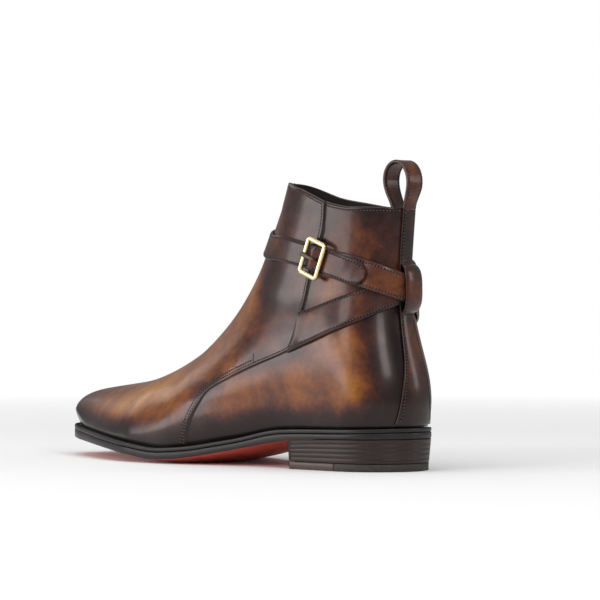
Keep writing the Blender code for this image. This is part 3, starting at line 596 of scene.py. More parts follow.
# How much broader than in the solid the bars of the frame are, inwards.
BAR_BROADER = 1.3
# The ribbed cuff round the front bar: places along the bar, and how far it stands off the bar.
CUFF_ROWS = [
    (-1.6, 0.05), (-1.5, 0.34), (-1.1, 0.42), (-0.6, 0.42), (-0.5, 0.28), (-0.4, 0.42),
    (0.4, 0.42), (0.5, 0.28), (0.6, 0.42), (1.1, 0.42), (1.5, 0.34), (1.6, 0.05),
]
# Section of a bar of the frame, over its flat top: shares of half its width and of half its height.
BAR_SECTION = [
    (-1.0, -0.55), (-1.0, 0.45), (-0.86, 0.78), (-0.55, 0.95), (0.0, 1.0), (0.55, 0.95), (0.86, 0.78),
    (1.0, 0.45), (1.0, -0.55), (0.8, -0.9), (-0.8, -0.9),
]
# The keeper between its two rows of stitches, and how far it stands out there.
KEEPER_SEWN = (90.8, 119.4)
KEEPER_BULGE = 6.4
# How much further the flap's free edge stands off the quarter.
FLAP_OFF = 0.4
# The collar's rounded rim: how far inwards and upwards from its outer edge.
COLLAR_RIM = ((0.25, 0.22), (0.7, 0.34), (1.2, 0.36), (1.7, 0.24), (2.0, 0.0))
# Sections in the round end of the wrap strap, and the sections of the pull loop that carry stitches.
TAIL_ROWS = 26
LOOP_SEWN = slice(8, 118)
# How far the wrap strap thins towards the flap that it starts under, and the stretch that its cut may take.
TUCK_LONG = 20.0
TUCK_CUT = 26.0
# The floor: its middle and its reach, in metres.
FLOOR_MID = (0.1, 0.0)
FLOOR_REACH = 1.3
# Where the punched hole shows inside the buckle.
HOLE_TURN = 75.0
# Rings of the hole's dark disc of painted shade: radius, and height over the strap.
HOLE_RINGS = ((1.15, -0.05), (1.0, 0.14), (0.8, 0.12), (0.0, 0.05))


def mesh_piece(name, points, faces, look, slot, replaces=()):
    """One piece of the boot from points in millimetres, riding on the boot's only body."""
    mesh = bpy.data.meshes.new(name)
    metres = np.asarray(points, float) / 1000.0
    mesh.from_pydata(metres.tolist(), [], [tuple(int(i) for i in face) for face in faces])
    mesh.validate()
    mesh.polygons.foreach_set("use_smooth", [True] * len(mesh.polygons))
    mesh.materials.append(look)
    made = bpy.data.objects.new(name, mesh)
    bpy.context.scene.collection.objects.link(made)
    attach(made, "root")
    if replaces:
        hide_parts(*replaces)
    return made


def paint(piece, name, values):
    """A number at each point, for the material to read."""
    layer = piece.data.attributes.new(name, "FLOAT", "POINT")
    layer.data.foreach_set("value", np.asarray(values, np.float32).reshape(-1))


def sheet_faces(n, m, wrap=False):
    """Faces between the rows of a grid. With wrap, its last column joins the first."""
    faces = []
    for i in range(n - 1):
        for j in range(m if wrap else m - 1):
            k = (j + 1) % m
            faces.append((i * m + j, i * m + k, (i + 1) * m + k, (i + 1) * m + j))
    return faces


def torus_faces(n, m):
    faces = sheet_faces(n, m, wrap=True)
    for j in range(m):
        k = (j + 1) % m
        faces.append(((n - 1) * m + j, (n - 1) * m + k, k, j))
    return faces


def outward(points, faces):
    p = np.asarray(points).reshape(-1, 3)
    a = np.array([f[:3] for f in faces])
    volume = np.einsum("ij,ij->i", p[a[:, 0]], np.cross(p[a[:, 1]], p[a[:, 2]])).sum()
    return [f[::-1] for f in faces] if volume < 0 else faces


class Shader:
    """A material being made, with short calls for the nodes that every look here uses."""

    def __init__(self, name):
        self.material = bpy.data.materials.new(name)
        self.material.use_nodes = True
        self.tree = self.material.node_tree
        self.main = self.tree.nodes["Principled BSDF"]
        self.place = self.tree.nodes.new("ShaderNodeTexCoord").outputs["Object"]

    def node(self, kind, **settings):
        made = self.tree.nodes.new(kind)
        for key, value in settings.items():
            setattr(made, key, value)
        return made

    def link(self, out, socket):
        self.tree.links.new(out, socket)

    def set(self, **values):
        for key, value in values.items():
            self.main.inputs[key.replace("_", " ")].default_value = value

    def noise(self, scale, detail=3.0, rough=0.55, stretch=None, distort=0.0):
        made = self.node("ShaderNodeTexNoise")
        made.inputs["Scale"].default_value = scale
        made.inputs["Detail"].default_value = detail
        made.inputs["Roughness"].default_value = rough
        made.inputs["Distortion"].default_value = distort
        place = self.place
        if stretch:
            turn = self.node("ShaderNodeMapping")
            turn.inputs["Scale"].default_value = stretch
            self.link(place, turn.inputs["Vector"])
            place = turn.outputs["Vector"]
        self.link(place, made.inputs["Vector"])
        return made.outputs["Fac"]

    def pebbles(self, scale):
        made = self.node("ShaderNodeTexVoronoi")
        made.feature = "SMOOTH_F1"
        made.inputs["Scale"].default_value = scale
        self.link(self.place, made.inputs["Vector"])
        return made.outputs["Distance"]

    def math(self, how, first, second=None, clamp=False):
        made = self.node("ShaderNodeMath", operation=how, use_clamp=clamp)
        for k, value in enumerate((first, second)):
            if value is None:
                continue
            if isinstance(value, (int, float)):
                made.inputs[k].default_value = value
            else:
                self.link(value, made.inputs[k])
        return made.outputs[0]

    def spread(self, value, low, high, to_low, to_high):
        made = self.node("ShaderNodeMapRange")
        for name, number in (("From Min", low), ("From Max", high), ("To Min", to_low), ("To Max", to_high)):
            made.inputs[name].default_value = number
        self.link(value, made.inputs["Value"])
        return made.outputs["Result"]

    def ramp(self, value, stops):
        made = self.node("ShaderNodeValToRGB")
        made.color_ramp.interpolation = "B_SPLINE"
        elements = made.color_ramp.elements
        while len(elements) < len(stops):
            elements.new(0.5)
        for element, (place, color) in zip(elements, stops):
            element.position = place
            element.color = (*color, 1.0)
        self.link(value, made.inputs["Fac"])
        return made.outputs["Color"]

    def read(self, name):
        return self.node("ShaderNodeAttribute", attribute_name=name).outputs["Fac"]

    def mix(self, share, first, second, how="MIX"):
        made = self.node("ShaderNodeMix", data_type="RGBA", blend_type=how)
        for socket, value in ((made.inputs[0], share), (made.inputs[6], first), (made.inputs[7], second)):
            if isinstance(value, (int, float)):
                socket.default_value = value
            elif isinstance(value, tuple):
                socket.default_value = (*value, 1.0)
            else:
                self.link(value, socket)
        return made.outputs[2]

    def bump(self, height, depth, strength=1.0, under=None):
        made = self.node("ShaderNodeBump")
        made.inputs["Strength"].default_value = strength
        made.inputs["Distance"].default_value = depth
        self.link(height, made.inputs["Height"])
        if under is not None:
            self.link(under, made.inputs["Normal"])
        return made.outputs["Normal"]

    def dress(self, color, rough=None, relief=None, **values):
        """Give the surface what varies over it, set the rest, and return the finished material."""
        for name, out in (("Base Color", color), ("Roughness", rough), ("Normal", relief)):
            if out is not None:
                self.link(out, self.main.inputs[name])
        self.set(**values)
        return self.material


DYE_STOPS = [
    (0.0, (0.0030, 0.0022, 0.0028)), (0.20, (0.0100, 0.0040, 0.0048)), (0.40, (0.0580, 0.0150, 0.0090)),
    (0.60, (0.1600, 0.0460, 0.0105)), (0.80, (0.2500, 0.0880, 0.0130)), (1.0, (0.3600, 0.1500, 0.0220)),
]


def calf(name, coat=0.42, rough=0.34):
    """Polished calf with a hand-rubbed dye. Its tone and its worn edges come from the piece."""
    s = Shader(name)
    cloud = s.spread(s.noise(42.0, 5.0, 0.62, distort=0.5), 0.32, 0.68, -0.16, 0.16)
    fleck = s.spread(s.noise(260.0, 4.0, 0.7), 0.3, 0.7, -0.07, 0.07)
    value = s.math("ADD", s.math("ADD", cloud, fleck), s.read("tone"), clamp=True)
    color = s.mix(s.read("edge"), s.ramp(value, DYE_STOPS), (0.045, 0.024, 0.019))
    polish = s.spread(s.noise(70.0, 3.0), 0.3, 0.7, rough - 0.05, rough + 0.07)
    grain = s.bump(s.pebbles(1500.0), 0.00005, 0.35)
    s.set(Coat_Weight=coat, Coat_Roughness=0.17, Coat_IOR=1.36)
    s.set(Specular_IOR_Level=0.34, Specular_Tint=(1.0, 0.74, 0.70, 1.0))
    return s.dress(color, polish, s.bump(s.noise(22.0, 2.0), 0.0006, 0.35, grain))


def thread_look(name, color):
    """Waxed thread over the groove that it has pulled into the leather; the groove is shown as a near-black
    strip of painted shade.
    """
    s = Shader(name)
    strands = s.mix(s.spread(s.noise(900.0), 0.35, 0.65, 0.0, 0.6), color, (0.03, 0.022, 0.020))
    # Where groove is 1, the near-black colour is painted shade in the stitch groove.
    shown = s.mix(s.read("groove"), strands, (0.004, 0.003, 0.003))
    rough = s.spread(s.read("groove"), 0.0, 1.0, 0.55, 0.9)
    return s.dress(shown, rough, s.bump(s.noise(3000.0), 0.00004, 0.6), Specular_IOR_Level=0.25)


def lining_look():
    s = Shader("lining_leather")
    color = s.ramp(s.noise(60.0, 4.0), [(0.3, (0.016, 0.012, 0.011)), (0.7, (0.034, 0.024, 0.021))])
    pores = s.bump(s.pebbles(1100.0), 0.00006, 0.5)
    return s.dress(color, None, pores, Roughness=0.62, Coat_Weight=0.05)


def sole_edge_look():
    """Waxed edge of the sole: fine lines run along it."""
    s = Shader("sole_edge")
    lines = s.noise(160.0, 4.0, 0.65, stretch=(0.25, 0.25, 9.0))
    browns = [(0.30, (0.005, 0.004, 0.004)), (0.55, (0.011, 0.008, 0.008)), (0.75, (0.022, 0.016, 0.014))]
    s.set(Coat_Weight=0.15, Coat_Roughness=0.3, Specular_IOR_Level=0.3)
    return s.dress(s.ramp(lines, browns), None, s.bump(lines, 0.00010, 0.5), Roughness=0.48)


def heel_look():
    """Stacked lifts: each lift has its own brown, with a dark line between two of them."""
    s = Shader("heel_stack_leather")
    lines = s.noise(120.0, 5.0, 0.7, stretch=(0.22, 0.22, 11.0))
    browns = [(0.28, (0.009, 0.005, 0.004)), (0.5, (0.021, 0.011, 0.009)), (0.75, (0.038, 0.020, 0.016))]
    wave = s.node("ShaderNodeTexWave", wave_type="BANDS", bands_direction="Z")
    wave.inputs["Scale"].default_value = 95.0
    wave.inputs["Distortion"].default_value = 0.6
    s.link(s.place, wave.inputs["Vector"])
    joint = s.spread(wave.outputs["Fac"], 0.0, 0.25, 0.72, 1.0)
    grey = s.node("ShaderNodeCombineColor")
    for k in range(3):
        s.link(joint, grey.inputs[k])
    color = s.mix(1.0, s.ramp(lines, browns), grey.outputs[0], "MULTIPLY")
    s.set(Coat_Weight=0.15, Coat_Roughness=0.3, Specular_IOR_Level=0.3)
    return s.dress(color, None, s.bump(lines, 0.00010, 0.5), Roughness=0.5)


def rubber_look():
    s = Shader("heel_rubber_look")
    color = s.ramp(s.noise(300.0), [(0.3, (0.016, 0.013, 0.012)), (0.7, (0.034, 0.028, 0.025))])
    return s.dress(color, None, s.bump(s.noise(1500.0), 0.00005, 0.5), Roughness=0.62)


def tip_look():
    s = Shader("heel_tip_look")
    lines = s.noise(150.0, 4.0, stretch=(0.25, 0.25, 8.0))
    color = s.ramp(lines, [(0.3, (0.036, 0.017, 0.011)), (0.7, (0.075, 0.038, 0.024))])
    return s.dress(color, None, s.bump(lines, 0.00015, 0.5), Roughness=0.5, Coat_Weight=0.1)


def red_look():
    s = Shader("red_underside")
    color = s.ramp(s.noise(45.0, 4.0), [(0.25, (0.42, 0.024, 0.008)), (0.75, (0.60, 0.050, 0.014))])
    rough = s.spread(s.noise(90.0), 0.3, 0.7, 0.36, 0.48)
    s.set(Coat_Weight=0.35, Coat_Roughness=0.25)
    return s.dress(color, rough, s.bump(s.noise(700.0, 4.0), 0.00004, 0.4))


def gold_look():
    s = Shader("pale_gold")
    color = s.ramp(s.noise(60.0), [(0.3, (0.66, 0.50, 0.26)), (0.7, (0.74, 0.58, 0.32))])
    rough = s.spread(s.noise(900.0, 3.0), 0.3, 0.7, 0.20, 0.25)
    return s.dress(color, rough, s.bump(s.noise(900.0, 2.0), 0.000002, 0.2), Metallic=1.0)


def prong_look():
    s = Shader("prong_metal")
    color = s.ramp(s.noise(300.0), [(0.3, (0.075, 0.048, 0.042)), (0.7, (0.130, 0.088, 0.076))])
    return s.dress(color, s.spread(s.noise(400.0), 0.3, 0.7, 0.3, 0.45), Metallic=0.3)


def tone_on_upper(points, inner_side):
    """The tone at points of the upper: the dye dark over the sole, at the toe, the seams and the collar, a
    painted shadow on the quarter under the flap's free edge, and painted highlight sheen from the table's
    lighter quarter spots.
    """
    x, z = points[..., 0] + HEEL_MID, points[..., 2]
    tone = np.full(x.shape, BASE_TONE)
    for side, at_x, at_z, reach_x, reach_z, change in DYE_AND_SHEEN:
        near = np.exp(-(((x - at_x) / reach_x) ** 2 + ((z - at_z) / reach_z) ** 2))
        if side == "outer":
            near = near * ~inner_side
        elif side == "inner":
            near = near * inner_side
        tone = tone + change * near
    height = z - feather_height(x)
    band = SOLE_DARK - 5.0 * ease((x - 190.0) / 80.0)
    tone = tone * ease(height / band) ** 1.2
    past = past_seam(x, z)
    tone = tone - 0.24 * np.exp(-((past / 4.5) ** 2))
    # Painted shadow: the quarter is darkened just behind the flap's raised free edge, where the flap shades it.
    flap_edge_shadow = (past < 0.2) & (z > 71.0) & ~inner_side
    tone = tone - 0.30 * np.exp(-((past / 2.6) ** 2)) * flap_edge_shadow
    top = np.interp(x, COLLAR[:, 0], COLLAR[:, 1]) - z
    tone = tone - 0.16 * np.exp(-((top / 14.0) ** 2))
    return np.clip(tone, 0.02, 1.0)


def upper_turns_fine(rise, behind, ahead):
    """The upper's columns as turns by rise, closer together on both sides of the seam."""
    seam = seam_turn(rise)[:, None]
    near = np.array([-0.75, -0.5, -0.38, -0.26, 0.0, 0.2, 0.34, 0.5, 0.75])[None, :]
    slope = np.gradient(seam[:, 0], rise * 300.0)[:, None]
    widen = np.sqrt(1.0 + (slope * 0.8) ** 2)
    near = near * 1.25 * widen
    back = (seam + near[:, :1]) * np.linspace(0.0, 1.0, behind + 1)[None, :-1]
    front = (seam + near[:, -1:]) + (180.0 - seam - near[:, -1:]) * np.linspace(0.0, 1.0, ahead + 1)[None, 1:]
    outer = np.concatenate([back, seam + near, front], axis=1)
    return np.concatenate([outer, 360.0 - outer[:, -2:0:-1]], axis=1)


def raised_flap(points, normals, inner):
    """The flap's free edge stands a little off the quarter under it."""
    z = points[..., 2]
    past = past_seam(points[..., 0] + HEEL_MID, z)
    off = FLAP_OFF * ease(past / 0.7 + 0.5) * ease(1.0 - past / 12.0) * ease((z - 74.0) / 6.0)
    return points + normals * np.where(inner, 0.0, off)[..., None]


def make_upper(look):
    low, by_seam, high = np.linspace(0.0, 0.30, 62), np.linspace(0.30, 0.48, 60), np.linspace(0.48, 1.0, 78)
    rise = np.concatenate([low[:-1], by_seam[:-1], high])
    turn = upper_turns_fine(rise, 56, 74)
    rises = np.broadcast_to(rise[:, None], turn.shape)
    outside = skin(rises, turn)
    outside[0, :, 2] = last_point(0.0, turn[0])[:, 2]
    normal = last_normal(rises, turn)
    past = past_seam(outside[..., 0] + HEEL_MID, outside[..., 2])
    inner_side = turn > 180.0
    outside = raised_flap(outside, normal, inner_side)
    fall = np.clip(1.0 - rises / 0.03, 0.0, 1.0)[..., None]
    outside = outside - normal * fall**2 * 0.5
    n, m = turn.shape
    rim = [outside[-1] - normal[-1] * inwards + np.array([0.0, 0.0, up]) for inwards, up in COLLAR_RIM]
    points = np.concatenate([outside, np.stack(rim)])
    faces = outward(points, sheet_faces(len(points), m, wrap=True))
    tone = tone_on_upper(outside, inner_side)
    piece = mesh_piece("upper_leather", points.reshape(-1, 3), faces, look, "upper_leather", ("upper",))
    paint(piece, "tone", np.concatenate([tone, np.repeat(tone[-1:] * 0.8, len(rim), axis=0)]))
    on_edge = np.where(np.abs(past) < 0.36, 0.5, 0.0)
    paint(piece, "edge", np.concatenate([on_edge, np.full((len(rim), m), 0.55)]))


def make_lining(lining):
    rise = np.linspace(0.0, 1.0, 60)
    turn = np.broadcast_to(np.arange(120)[None, :] * 3.0, (60, 120))
    rises = np.broadcast_to(rise[:, None], turn.shape)
    points = last_point(rises, turn) - last_normal(rises, turn) * WALL
    points[-1, :, 2] = last_point(1.0, turn[-1])[:, 2]
    faces = sheet_faces(60, 120, wrap=True)
    back = [f[::-1] for f in outward(points, faces)]
    mesh_piece("upper_lining", points.reshape(-1, 3), back, lining, "insole_leather")


def strap_grid(path, thick, count, profile, round_end=0.0, inset=0.0, tuck=False, lean=()):
    """Sections along a strap: profile holds (share across, share of the thickness) round its section."""
    points = np.array(path, float)
    line = curve_through(np.stack([points[:, 0] / 1.2, points[:, 1]], axis=1), 400)
    turn, height = line[:, 0] * 1.2, line[:, 1]
    order = np.argsort(points[:, 0])
    wide = np.interp(turn, points[order, 0], points[order, 2])
    lift = from_table(points[order][:, [0, 3]], turn)
    middle_line = skin(rise_at(turn, height), turn, lift)
    length = run_length(middle_line)
    at = np.linspace(0.0, length[-1], count)
    if round_end:
        tail = length[-1] - round_end
        rounding = tail + round_end * np.sin(np.linspace(0.0, math.pi / 2.0, TAIL_ROWS))
        at = np.concatenate([np.linspace(0.0, tail, count - TAIL_ROWS)[:-1], rounding])
    left = length[-1] - at
    turn, height, wide, lift = (np.interp(at, length, a) for a in (turn, height, wide, lift))
    if round_end:
        wide = wide * (0.04 + 0.96 * round_in((left + 0.05) / round_end))
    step = 0.6
    rise = rise_at(turn, height)
    by_turn = (at_height(turn + step, height) - at_height(turn - step, height)) / (2.0 * step)
    by_height = (at_height(turn, height + step) - at_height(turn, height - step)) / (2.0 * step)
    run = np.stack([np.gradient(turn, at), np.gradient(height, at)], axis=1)
    tangent = by_turn * run[:, :1] + by_height * run[:, 1:]
    side = unit(np.cross(last_normal(rise, turn), tangent))
    moves = np.linalg.pinv(np.stack([by_turn, by_height], axis=2)) @ side[:, :, None]
    wide = np.maximum(wide - 2.0 * inset, 0.3)
    shares = np.array([p[0] for p in profile])[None, :]
    levels = np.array([p[1] for p in profile])[None, :]
    v = shares * wide[:, None]
    turns, heights = turn[:, None] + moves[:, 0] * v, height[:, None] + moves[:, 1] * v
    rises = rise_at(turns, heights)
    lifts = lift[:, None] + levels * thick
    if lean:
        lower = np.clip(-(heights - height[:, None]) / 8.0, -1.0, 1.0)
        lifts = lifts - from_table(lean, turn)[:, None] * ease((lower + 0.6) / 1.6)
    surface = skin(rises, turns, lifts)
    if tuck:
        surface = tucked(surface, at, rises, turns, lift, levels * thick)
    return surface, at


def started_early(path):
    """The wrap strap's path from further under the flap, so that its start can be cut along the flap."""
    return [(86.0, 74.2, 22.0, ON_SKIN), (78.0, 77.6, 21.0, ON_SKIN)] + path


def tucked(surface, at, rises, turns, lift, over):
    """The start of a strap, thinned and cut so that it comes out from under the edge of the flap."""
    base, normal = last_point(rises, turns), last_normal(rises, turns)
    x, z = base[..., 0] + HEEL_MID, base[..., 2]
    past = past_seam(x, z)
    edge = np.where(z > FLAP_CORNER[1], from_table(SEAM, z), FLAP_CORNER[0] + (FLAP_CORNER[1] - z) * 0.5)
    free = ease((at - 7.0) / TUCK_LONG)[:, None]
    cover = STEP * ease(past / STEP_COVER + 1.1) * free
    height = (0.08 + (lift[:, None] - 0.08) * free) + over * (0.42 + 0.58 * free) + cover
    surface = base + normal * height[..., None]
    count = int(np.searchsorted(at, TUCK_CUT))
    for column in range(surface.shape[1]):
        under = np.nonzero((x - edge)[:count, column] > 0.1)[0]
        first = under[-1] if len(under) else 0
        places = np.linspace(first, count, count + 1)
        line = surface[: count + 1, column]
        rows = np.arange(count + 1)
        surface[: count + 1, column] = sampled(line, rows, places)
    return surface


def strap_profile(across=9):
    """Section of a strap: slightly domed on top, with rounded edges, closed round the back."""
    top = [(v, 1.0 - 0.10 * (2 * v) ** 6) for v in np.linspace(-0.5 + 0.03, 0.5 - 0.03, across)]
    right = [(0.493, 0.80), (0.5, 0.55), (0.497, 0.2), (0.48, 0.02)]
    left = [(-0.48, 0.02), (-0.497, 0.2), (-0.5, 0.55), (-0.493, 0.80)]
    return top + right + left


def tube_faces(n, m):
    faces = sheet_faces(n, m, wrap=True)
    faces.append(tuple(range(m))[::-1])
    faces.append(tuple(range((n - 1) * m, n * m)))
    return faces


def swept(grid):
    """Points and faces of sections joined in a row and closed at both ends."""
    points = grid.reshape(-1, 3)
    return points, outward(points, tube_faces(*grid.shape[:2]))


def paint_sections(piece, name, values, rows):
    """The same numbers round each section of a swept piece."""
    paint(piece, name, np.broadcast_to(values[None, :], (rows, len(values))))


def make_strap(name, path, thick, count, look, node, tone, spots, round_end=0.0, tuck=False, lean=()):
    profile = strap_profile()
    grid, at = strap_grid(path, thick, count, profile, round_end, 0.0, tuck, lean)
    piece = mesh_piece(name, *swept(grid), look, "trim_leather", (node,))
    shares, levels = np.abs([p[0] for p in profile]), np.array([p[1] for p in profile])
    along_tone = np.full(grid.shape[:2], tone)
    for place, reach, change in spots:
        along_tone = along_tone + change * np.exp(-(((at - place) / reach) ** 2))[:, None]
    paint(piece, "tone", np.clip(along_tone - 0.12 * (shares[None, :] > 0.44), 0.02, 1.0))
    paint_sections(piece, "edge", np.where((shares > 0.49) & (levels < 0.85), 0.6, 0.0), len(grid))


def stitch_mesh(centres, runs, outs, length, thick, proud):
    """Stitches as short lozenges: one at each centre, along its run, standing a little proud."""
    points, faces = [], []
    side = unit(np.cross(runs, outs))
    half = length / 2.0
    swell = [(-half * 0.55, thick, proud * 0.75), (0.0, thick * 1.1, proud), (half * 0.55, thick, proud * 0.75)]
    for c, r, o, s in zip(centres, runs, outs, side):
        b = len(points)
        points.append(c - r * half - o * 0.05)
        for a, w, h in swell:
            points += [c + r * a + s * w * 0.5, c + r * a + o * h, c + r * a - s * w * 0.5]
        points.append(c + r * half - o * 0.05)
        faces += [(b, b + 2, b + 1), (b, b + 3, b + 2)]
        for k in (1, 4):
            faces += [(b + k, b + k + 1, b + k + 4, b + k + 3), (b + k + 1, b + k + 2, b + k + 5, b + k + 4)]
        faces += [(b + 7, b + 8, b + 10), (b + 8, b + 9, b + 10)]
    return points, faces


def even_points(line, pitch):
    """Points at even steps along a line, with the run and the share of the line there."""
    length = run_length(line)
    count = max(int(length[-1] / pitch), 2)
    at = (np.arange(count) + 0.5) * length[-1] / count
    run = unit(sampled(line, length, at + 0.3) - sampled(line, length, at - 0.3))
    return sampled(line, length, at), run, at / length[-1]


def stitches_on(line, outs, pitch=1.9, length=1.3, thick=0.55, proud=0.24):
    """A row of stitches along a line, over a near-black strip of painted groove shade: points, faces and 1 at
    the strip's points.
    """
    centres, runs, share = even_points(line, pitch)
    k = np.linspace(0.0, 1.0, len(outs))
    out = unit(sampled(outs, k, share))
    points, faces = stitch_mesh(centres, runs, out, length, thick, proud)
    side = unit(np.cross(runs, out))
    # A flat near-black strip under the stitches paints the shade in their groove.
    groove_shade_strip = []
    for across, lift in ((-0.5, 0.0), (-0.25, 0.05), (0.25, 0.05), (0.5, 0.0)):
        groove_shade_strip.append(centres + side * across * thick * 1.45 + out * lift)
    grid = np.stack(groove_shade_strip, axis=1)
    base = len(points)
    faces = faces + [tuple(base + q for q in f) for f in outward_from(grid, sheet_faces(len(grid), 4), out)]
    return list(points) + list(grid.reshape(-1, 3)), faces, [0.0] * base + [1.0] * (len(grid) * 4)


def outward_from(grid, faces, out):
    """The faces of an open grid, turned to face along the given directions."""
    p = grid.reshape(-1, 3)
    a = faces[len(faces) // 2]
    normal = np.cross(p[a[1]] - p[a[0]], p[a[2]] - p[a[0]])
    return [f[::-1] for f in faces] if normal @ out[len(out) // 2] < 0 else faces


def join(parts):
    """Points and faces of several parts as one mesh."""
    points, faces = [], []
    for p, f in parts:
        faces += [tuple(i + len(points) for i in face) for face in f]
        points += list(p)
    return points, faces


def sew(name, rows, look, slot):
    """One piece from several rows of stitches."""
    piece = mesh_piece(name, *join([row[:2] for row in rows]), look, slot)
    paint(piece, "groove", sum((row[2] for row in rows), []))


def line_by_seam(offset, low, high, inner, count=400):
    """A line on the upper at a distance in front of the vamp's edge, between two heights of the edge."""
    z = np.linspace(low, high, count)
    x = from_table(SEAM, z)
    edge = np.stack([x, z], axis=1)
    run = unit(np.gradient(edge, axis=0))
    ahead = np.stack([run[:, 1], -run[:, 0]], axis=1)
    place = edge + ahead * offset
    return on_upper(place[:, 0], place[:, 1], inner)


def on_upper(x, z, inner):
    """Points and normals of the upper's outside at places of the side view."""
    rise, turn = np.empty(len(x)), np.empty(len(x))
    rises = np.linspace(0.0, 1.0, 161)
    turns = np.linspace(4.0, 176.0, 173)
    r, t = np.meshgrid(rises, turns, indexing="ij")
    flat = side_view(r, edge_share(t))
    for k in range(len(x)):
        away = (flat[..., 0] - x[k]) ** 2 + (flat[..., 1] - z[k]) ** 2
        i, j = np.unravel_index(away.argmin(), away.shape)
        i, j = min(max(i, 1), 159), min(max(j, 1), 171)
        du = (flat[i + 1, j] - flat[i - 1, j]) / 2.0
        dv = (flat[i, j + 1] - flat[i, j - 1]) / 2.0
        step = np.linalg.solve(np.stack([du, dv], axis=1), np.array([x[k], z[k]]) - flat[i, j])
        rise[k] = rises[i] + step[0] * (rises[1] - rises[0])
        turn[k] = turns[j] + step[1] * (turns[1] - turns[0])
    rise = np.clip(rise, 0.0, 1.0)
    if inner:
        turn = 360.0 - turn
    normals = last_normal(rise, turn)
    return raised_flap(skin(rise, turn), normals, inner), normals


def loop_of(grid):
    """The points round the rim of a grid, in order."""
    return np.array([grid[i, j] for i, j in rim_of(*grid.shape[:2])])


def stacked(top, loops, low):
    """A solid with a gridded top and underside, joined by loops round its edge from the top down."""
    n, m = top.shape[:2]
    count = 2 * (n + m) - 4
    cells = sheet_faces(n, m)
    points = [top.reshape(-1, 3)] + [np.asarray(loop) for loop in loops] + [low.reshape(-1, 3)]
    faces = list(cells)
    order = loop_of(np.arange(n * m).reshape(n, m, 1))[:, 0].astype(int)
    rings = [order] + [n * m + k * count + np.arange(count) for k in range(len(loops))]
    base = n * m + len(loops) * count
    rings.append(base + order)
    for a, b in zip(rings, rings[1:]):
        for j in range(count):
            k = (j + 1) % count
            faces.append((a[j], b[j], b[k], a[k]))
    faces += [tuple(base + q for q in f[::-1]) for f in cells]
    points = np.concatenate(points)
    return points, outward(points, faces), n * m, base


def sole_plate(high_of, low_of, bevel, rows=150, across=25):
    """A plate of the sole with a rounded edge: top grid, edge loops and underside grid."""
    def grid(inset, height_of):
        plan, level, v = plate_rows(lambda turn: sole_reach(turn) - inset, rows, across, 1.5, 178.5)
        return with_height(plan, height_of(plan[..., 0] + HEEL_MID, level, v))
    top = grid(bevel, high_of)
    low = grid(bevel, low_of)
    wide_top, wide_low = grid(0.0, high_of), grid(0.0, low_of)
    mid_top, mid_low = grid(0.3 * bevel, high_of), grid(0.3 * bevel, low_of)
    down, up = np.array([0.0, 0.0, -bevel]), np.array([0.0, 0.0, bevel])
    loops = [loop_of(mid_top) + 0.3 * down, loop_of(wide_top) + down]
    a, b = loops[-1], loop_of(wide_low) + up
    loops += [a * 0.5 + b * 0.5, b, loop_of(mid_low) + 0.3 * up]
    return stacked(top, loops, low)


def make_sole(edge_look, red, heel, rubber, tip, lining):
    def high(x, level, v):
        return level - 2.0 * GAP - WELT_THICK
    def under(x, level, v):
        low = from_table(SOLE_EDGE, x, 2) - from_table(SOLE_EDGE, x, 3) * (1.0 - v * v)
        return np.maximum(low, 0.0)
    points, faces, _, base = sole_plate(high, under, 0.55)
    sole = mesh_piece("outsole_leather", points, faces, edge_look, "sole_leather", ("outsole",))
    sole.data.materials.append(red)
    for polygon in sole.data.polygons:
        if min(polygon.vertices) >= base:
            polygon.material_index = 1
    def welt_high(x, level, v):
        return level - GAP - SEAT_EXTRA
    def welt_low(x, level, v):
        return level - GAP - WELT_THICK
    points, faces, _, _ = sole_plate(welt_high, welt_low, 0.4, 150, 9)
    mesh_piece("welt_leather", points, faces, edge_look, "welt_leather", ("welt",))
    make_heel_part("heel_stack_lifts", heel_back, breast, TOP_LIFT + GAP, sole_underside, HEEL_TAPER, 0.1,
                   heel, "heel_leather", "heel_stack", 5)
    make_heel_part("top_lift_rubber", heel_back, lift_end, 0.0, TOP_LIFT, HEEL_TAPER + 0.2, HEEL_TAPER + 0.1,
                   rubber, "heel_rubber", "top_lift", 1)
    make_heel_part("top_lift_leather", lift_cut, breast, 0.0, TOP_LIFT, HEEL_TAPER + 0.2, HEEL_TAPER + 0.1,
                   tip, "heel_tip_leather", "top_lift_front", 1)
    plan, level, _ = plate_rows(inside_wall, 90, 21, 7.0, 173.0)
    top, _, _ = plate_rows(inside_lean, 90, 21, 7.0, 173.0)
    points, faces = slab(with_height(top, level + INSOLE_THICK), with_height(plan, level))
    mesh_piece("insole_sock", points, outward(points, faces), lining, "insole_leather", ("insole",))


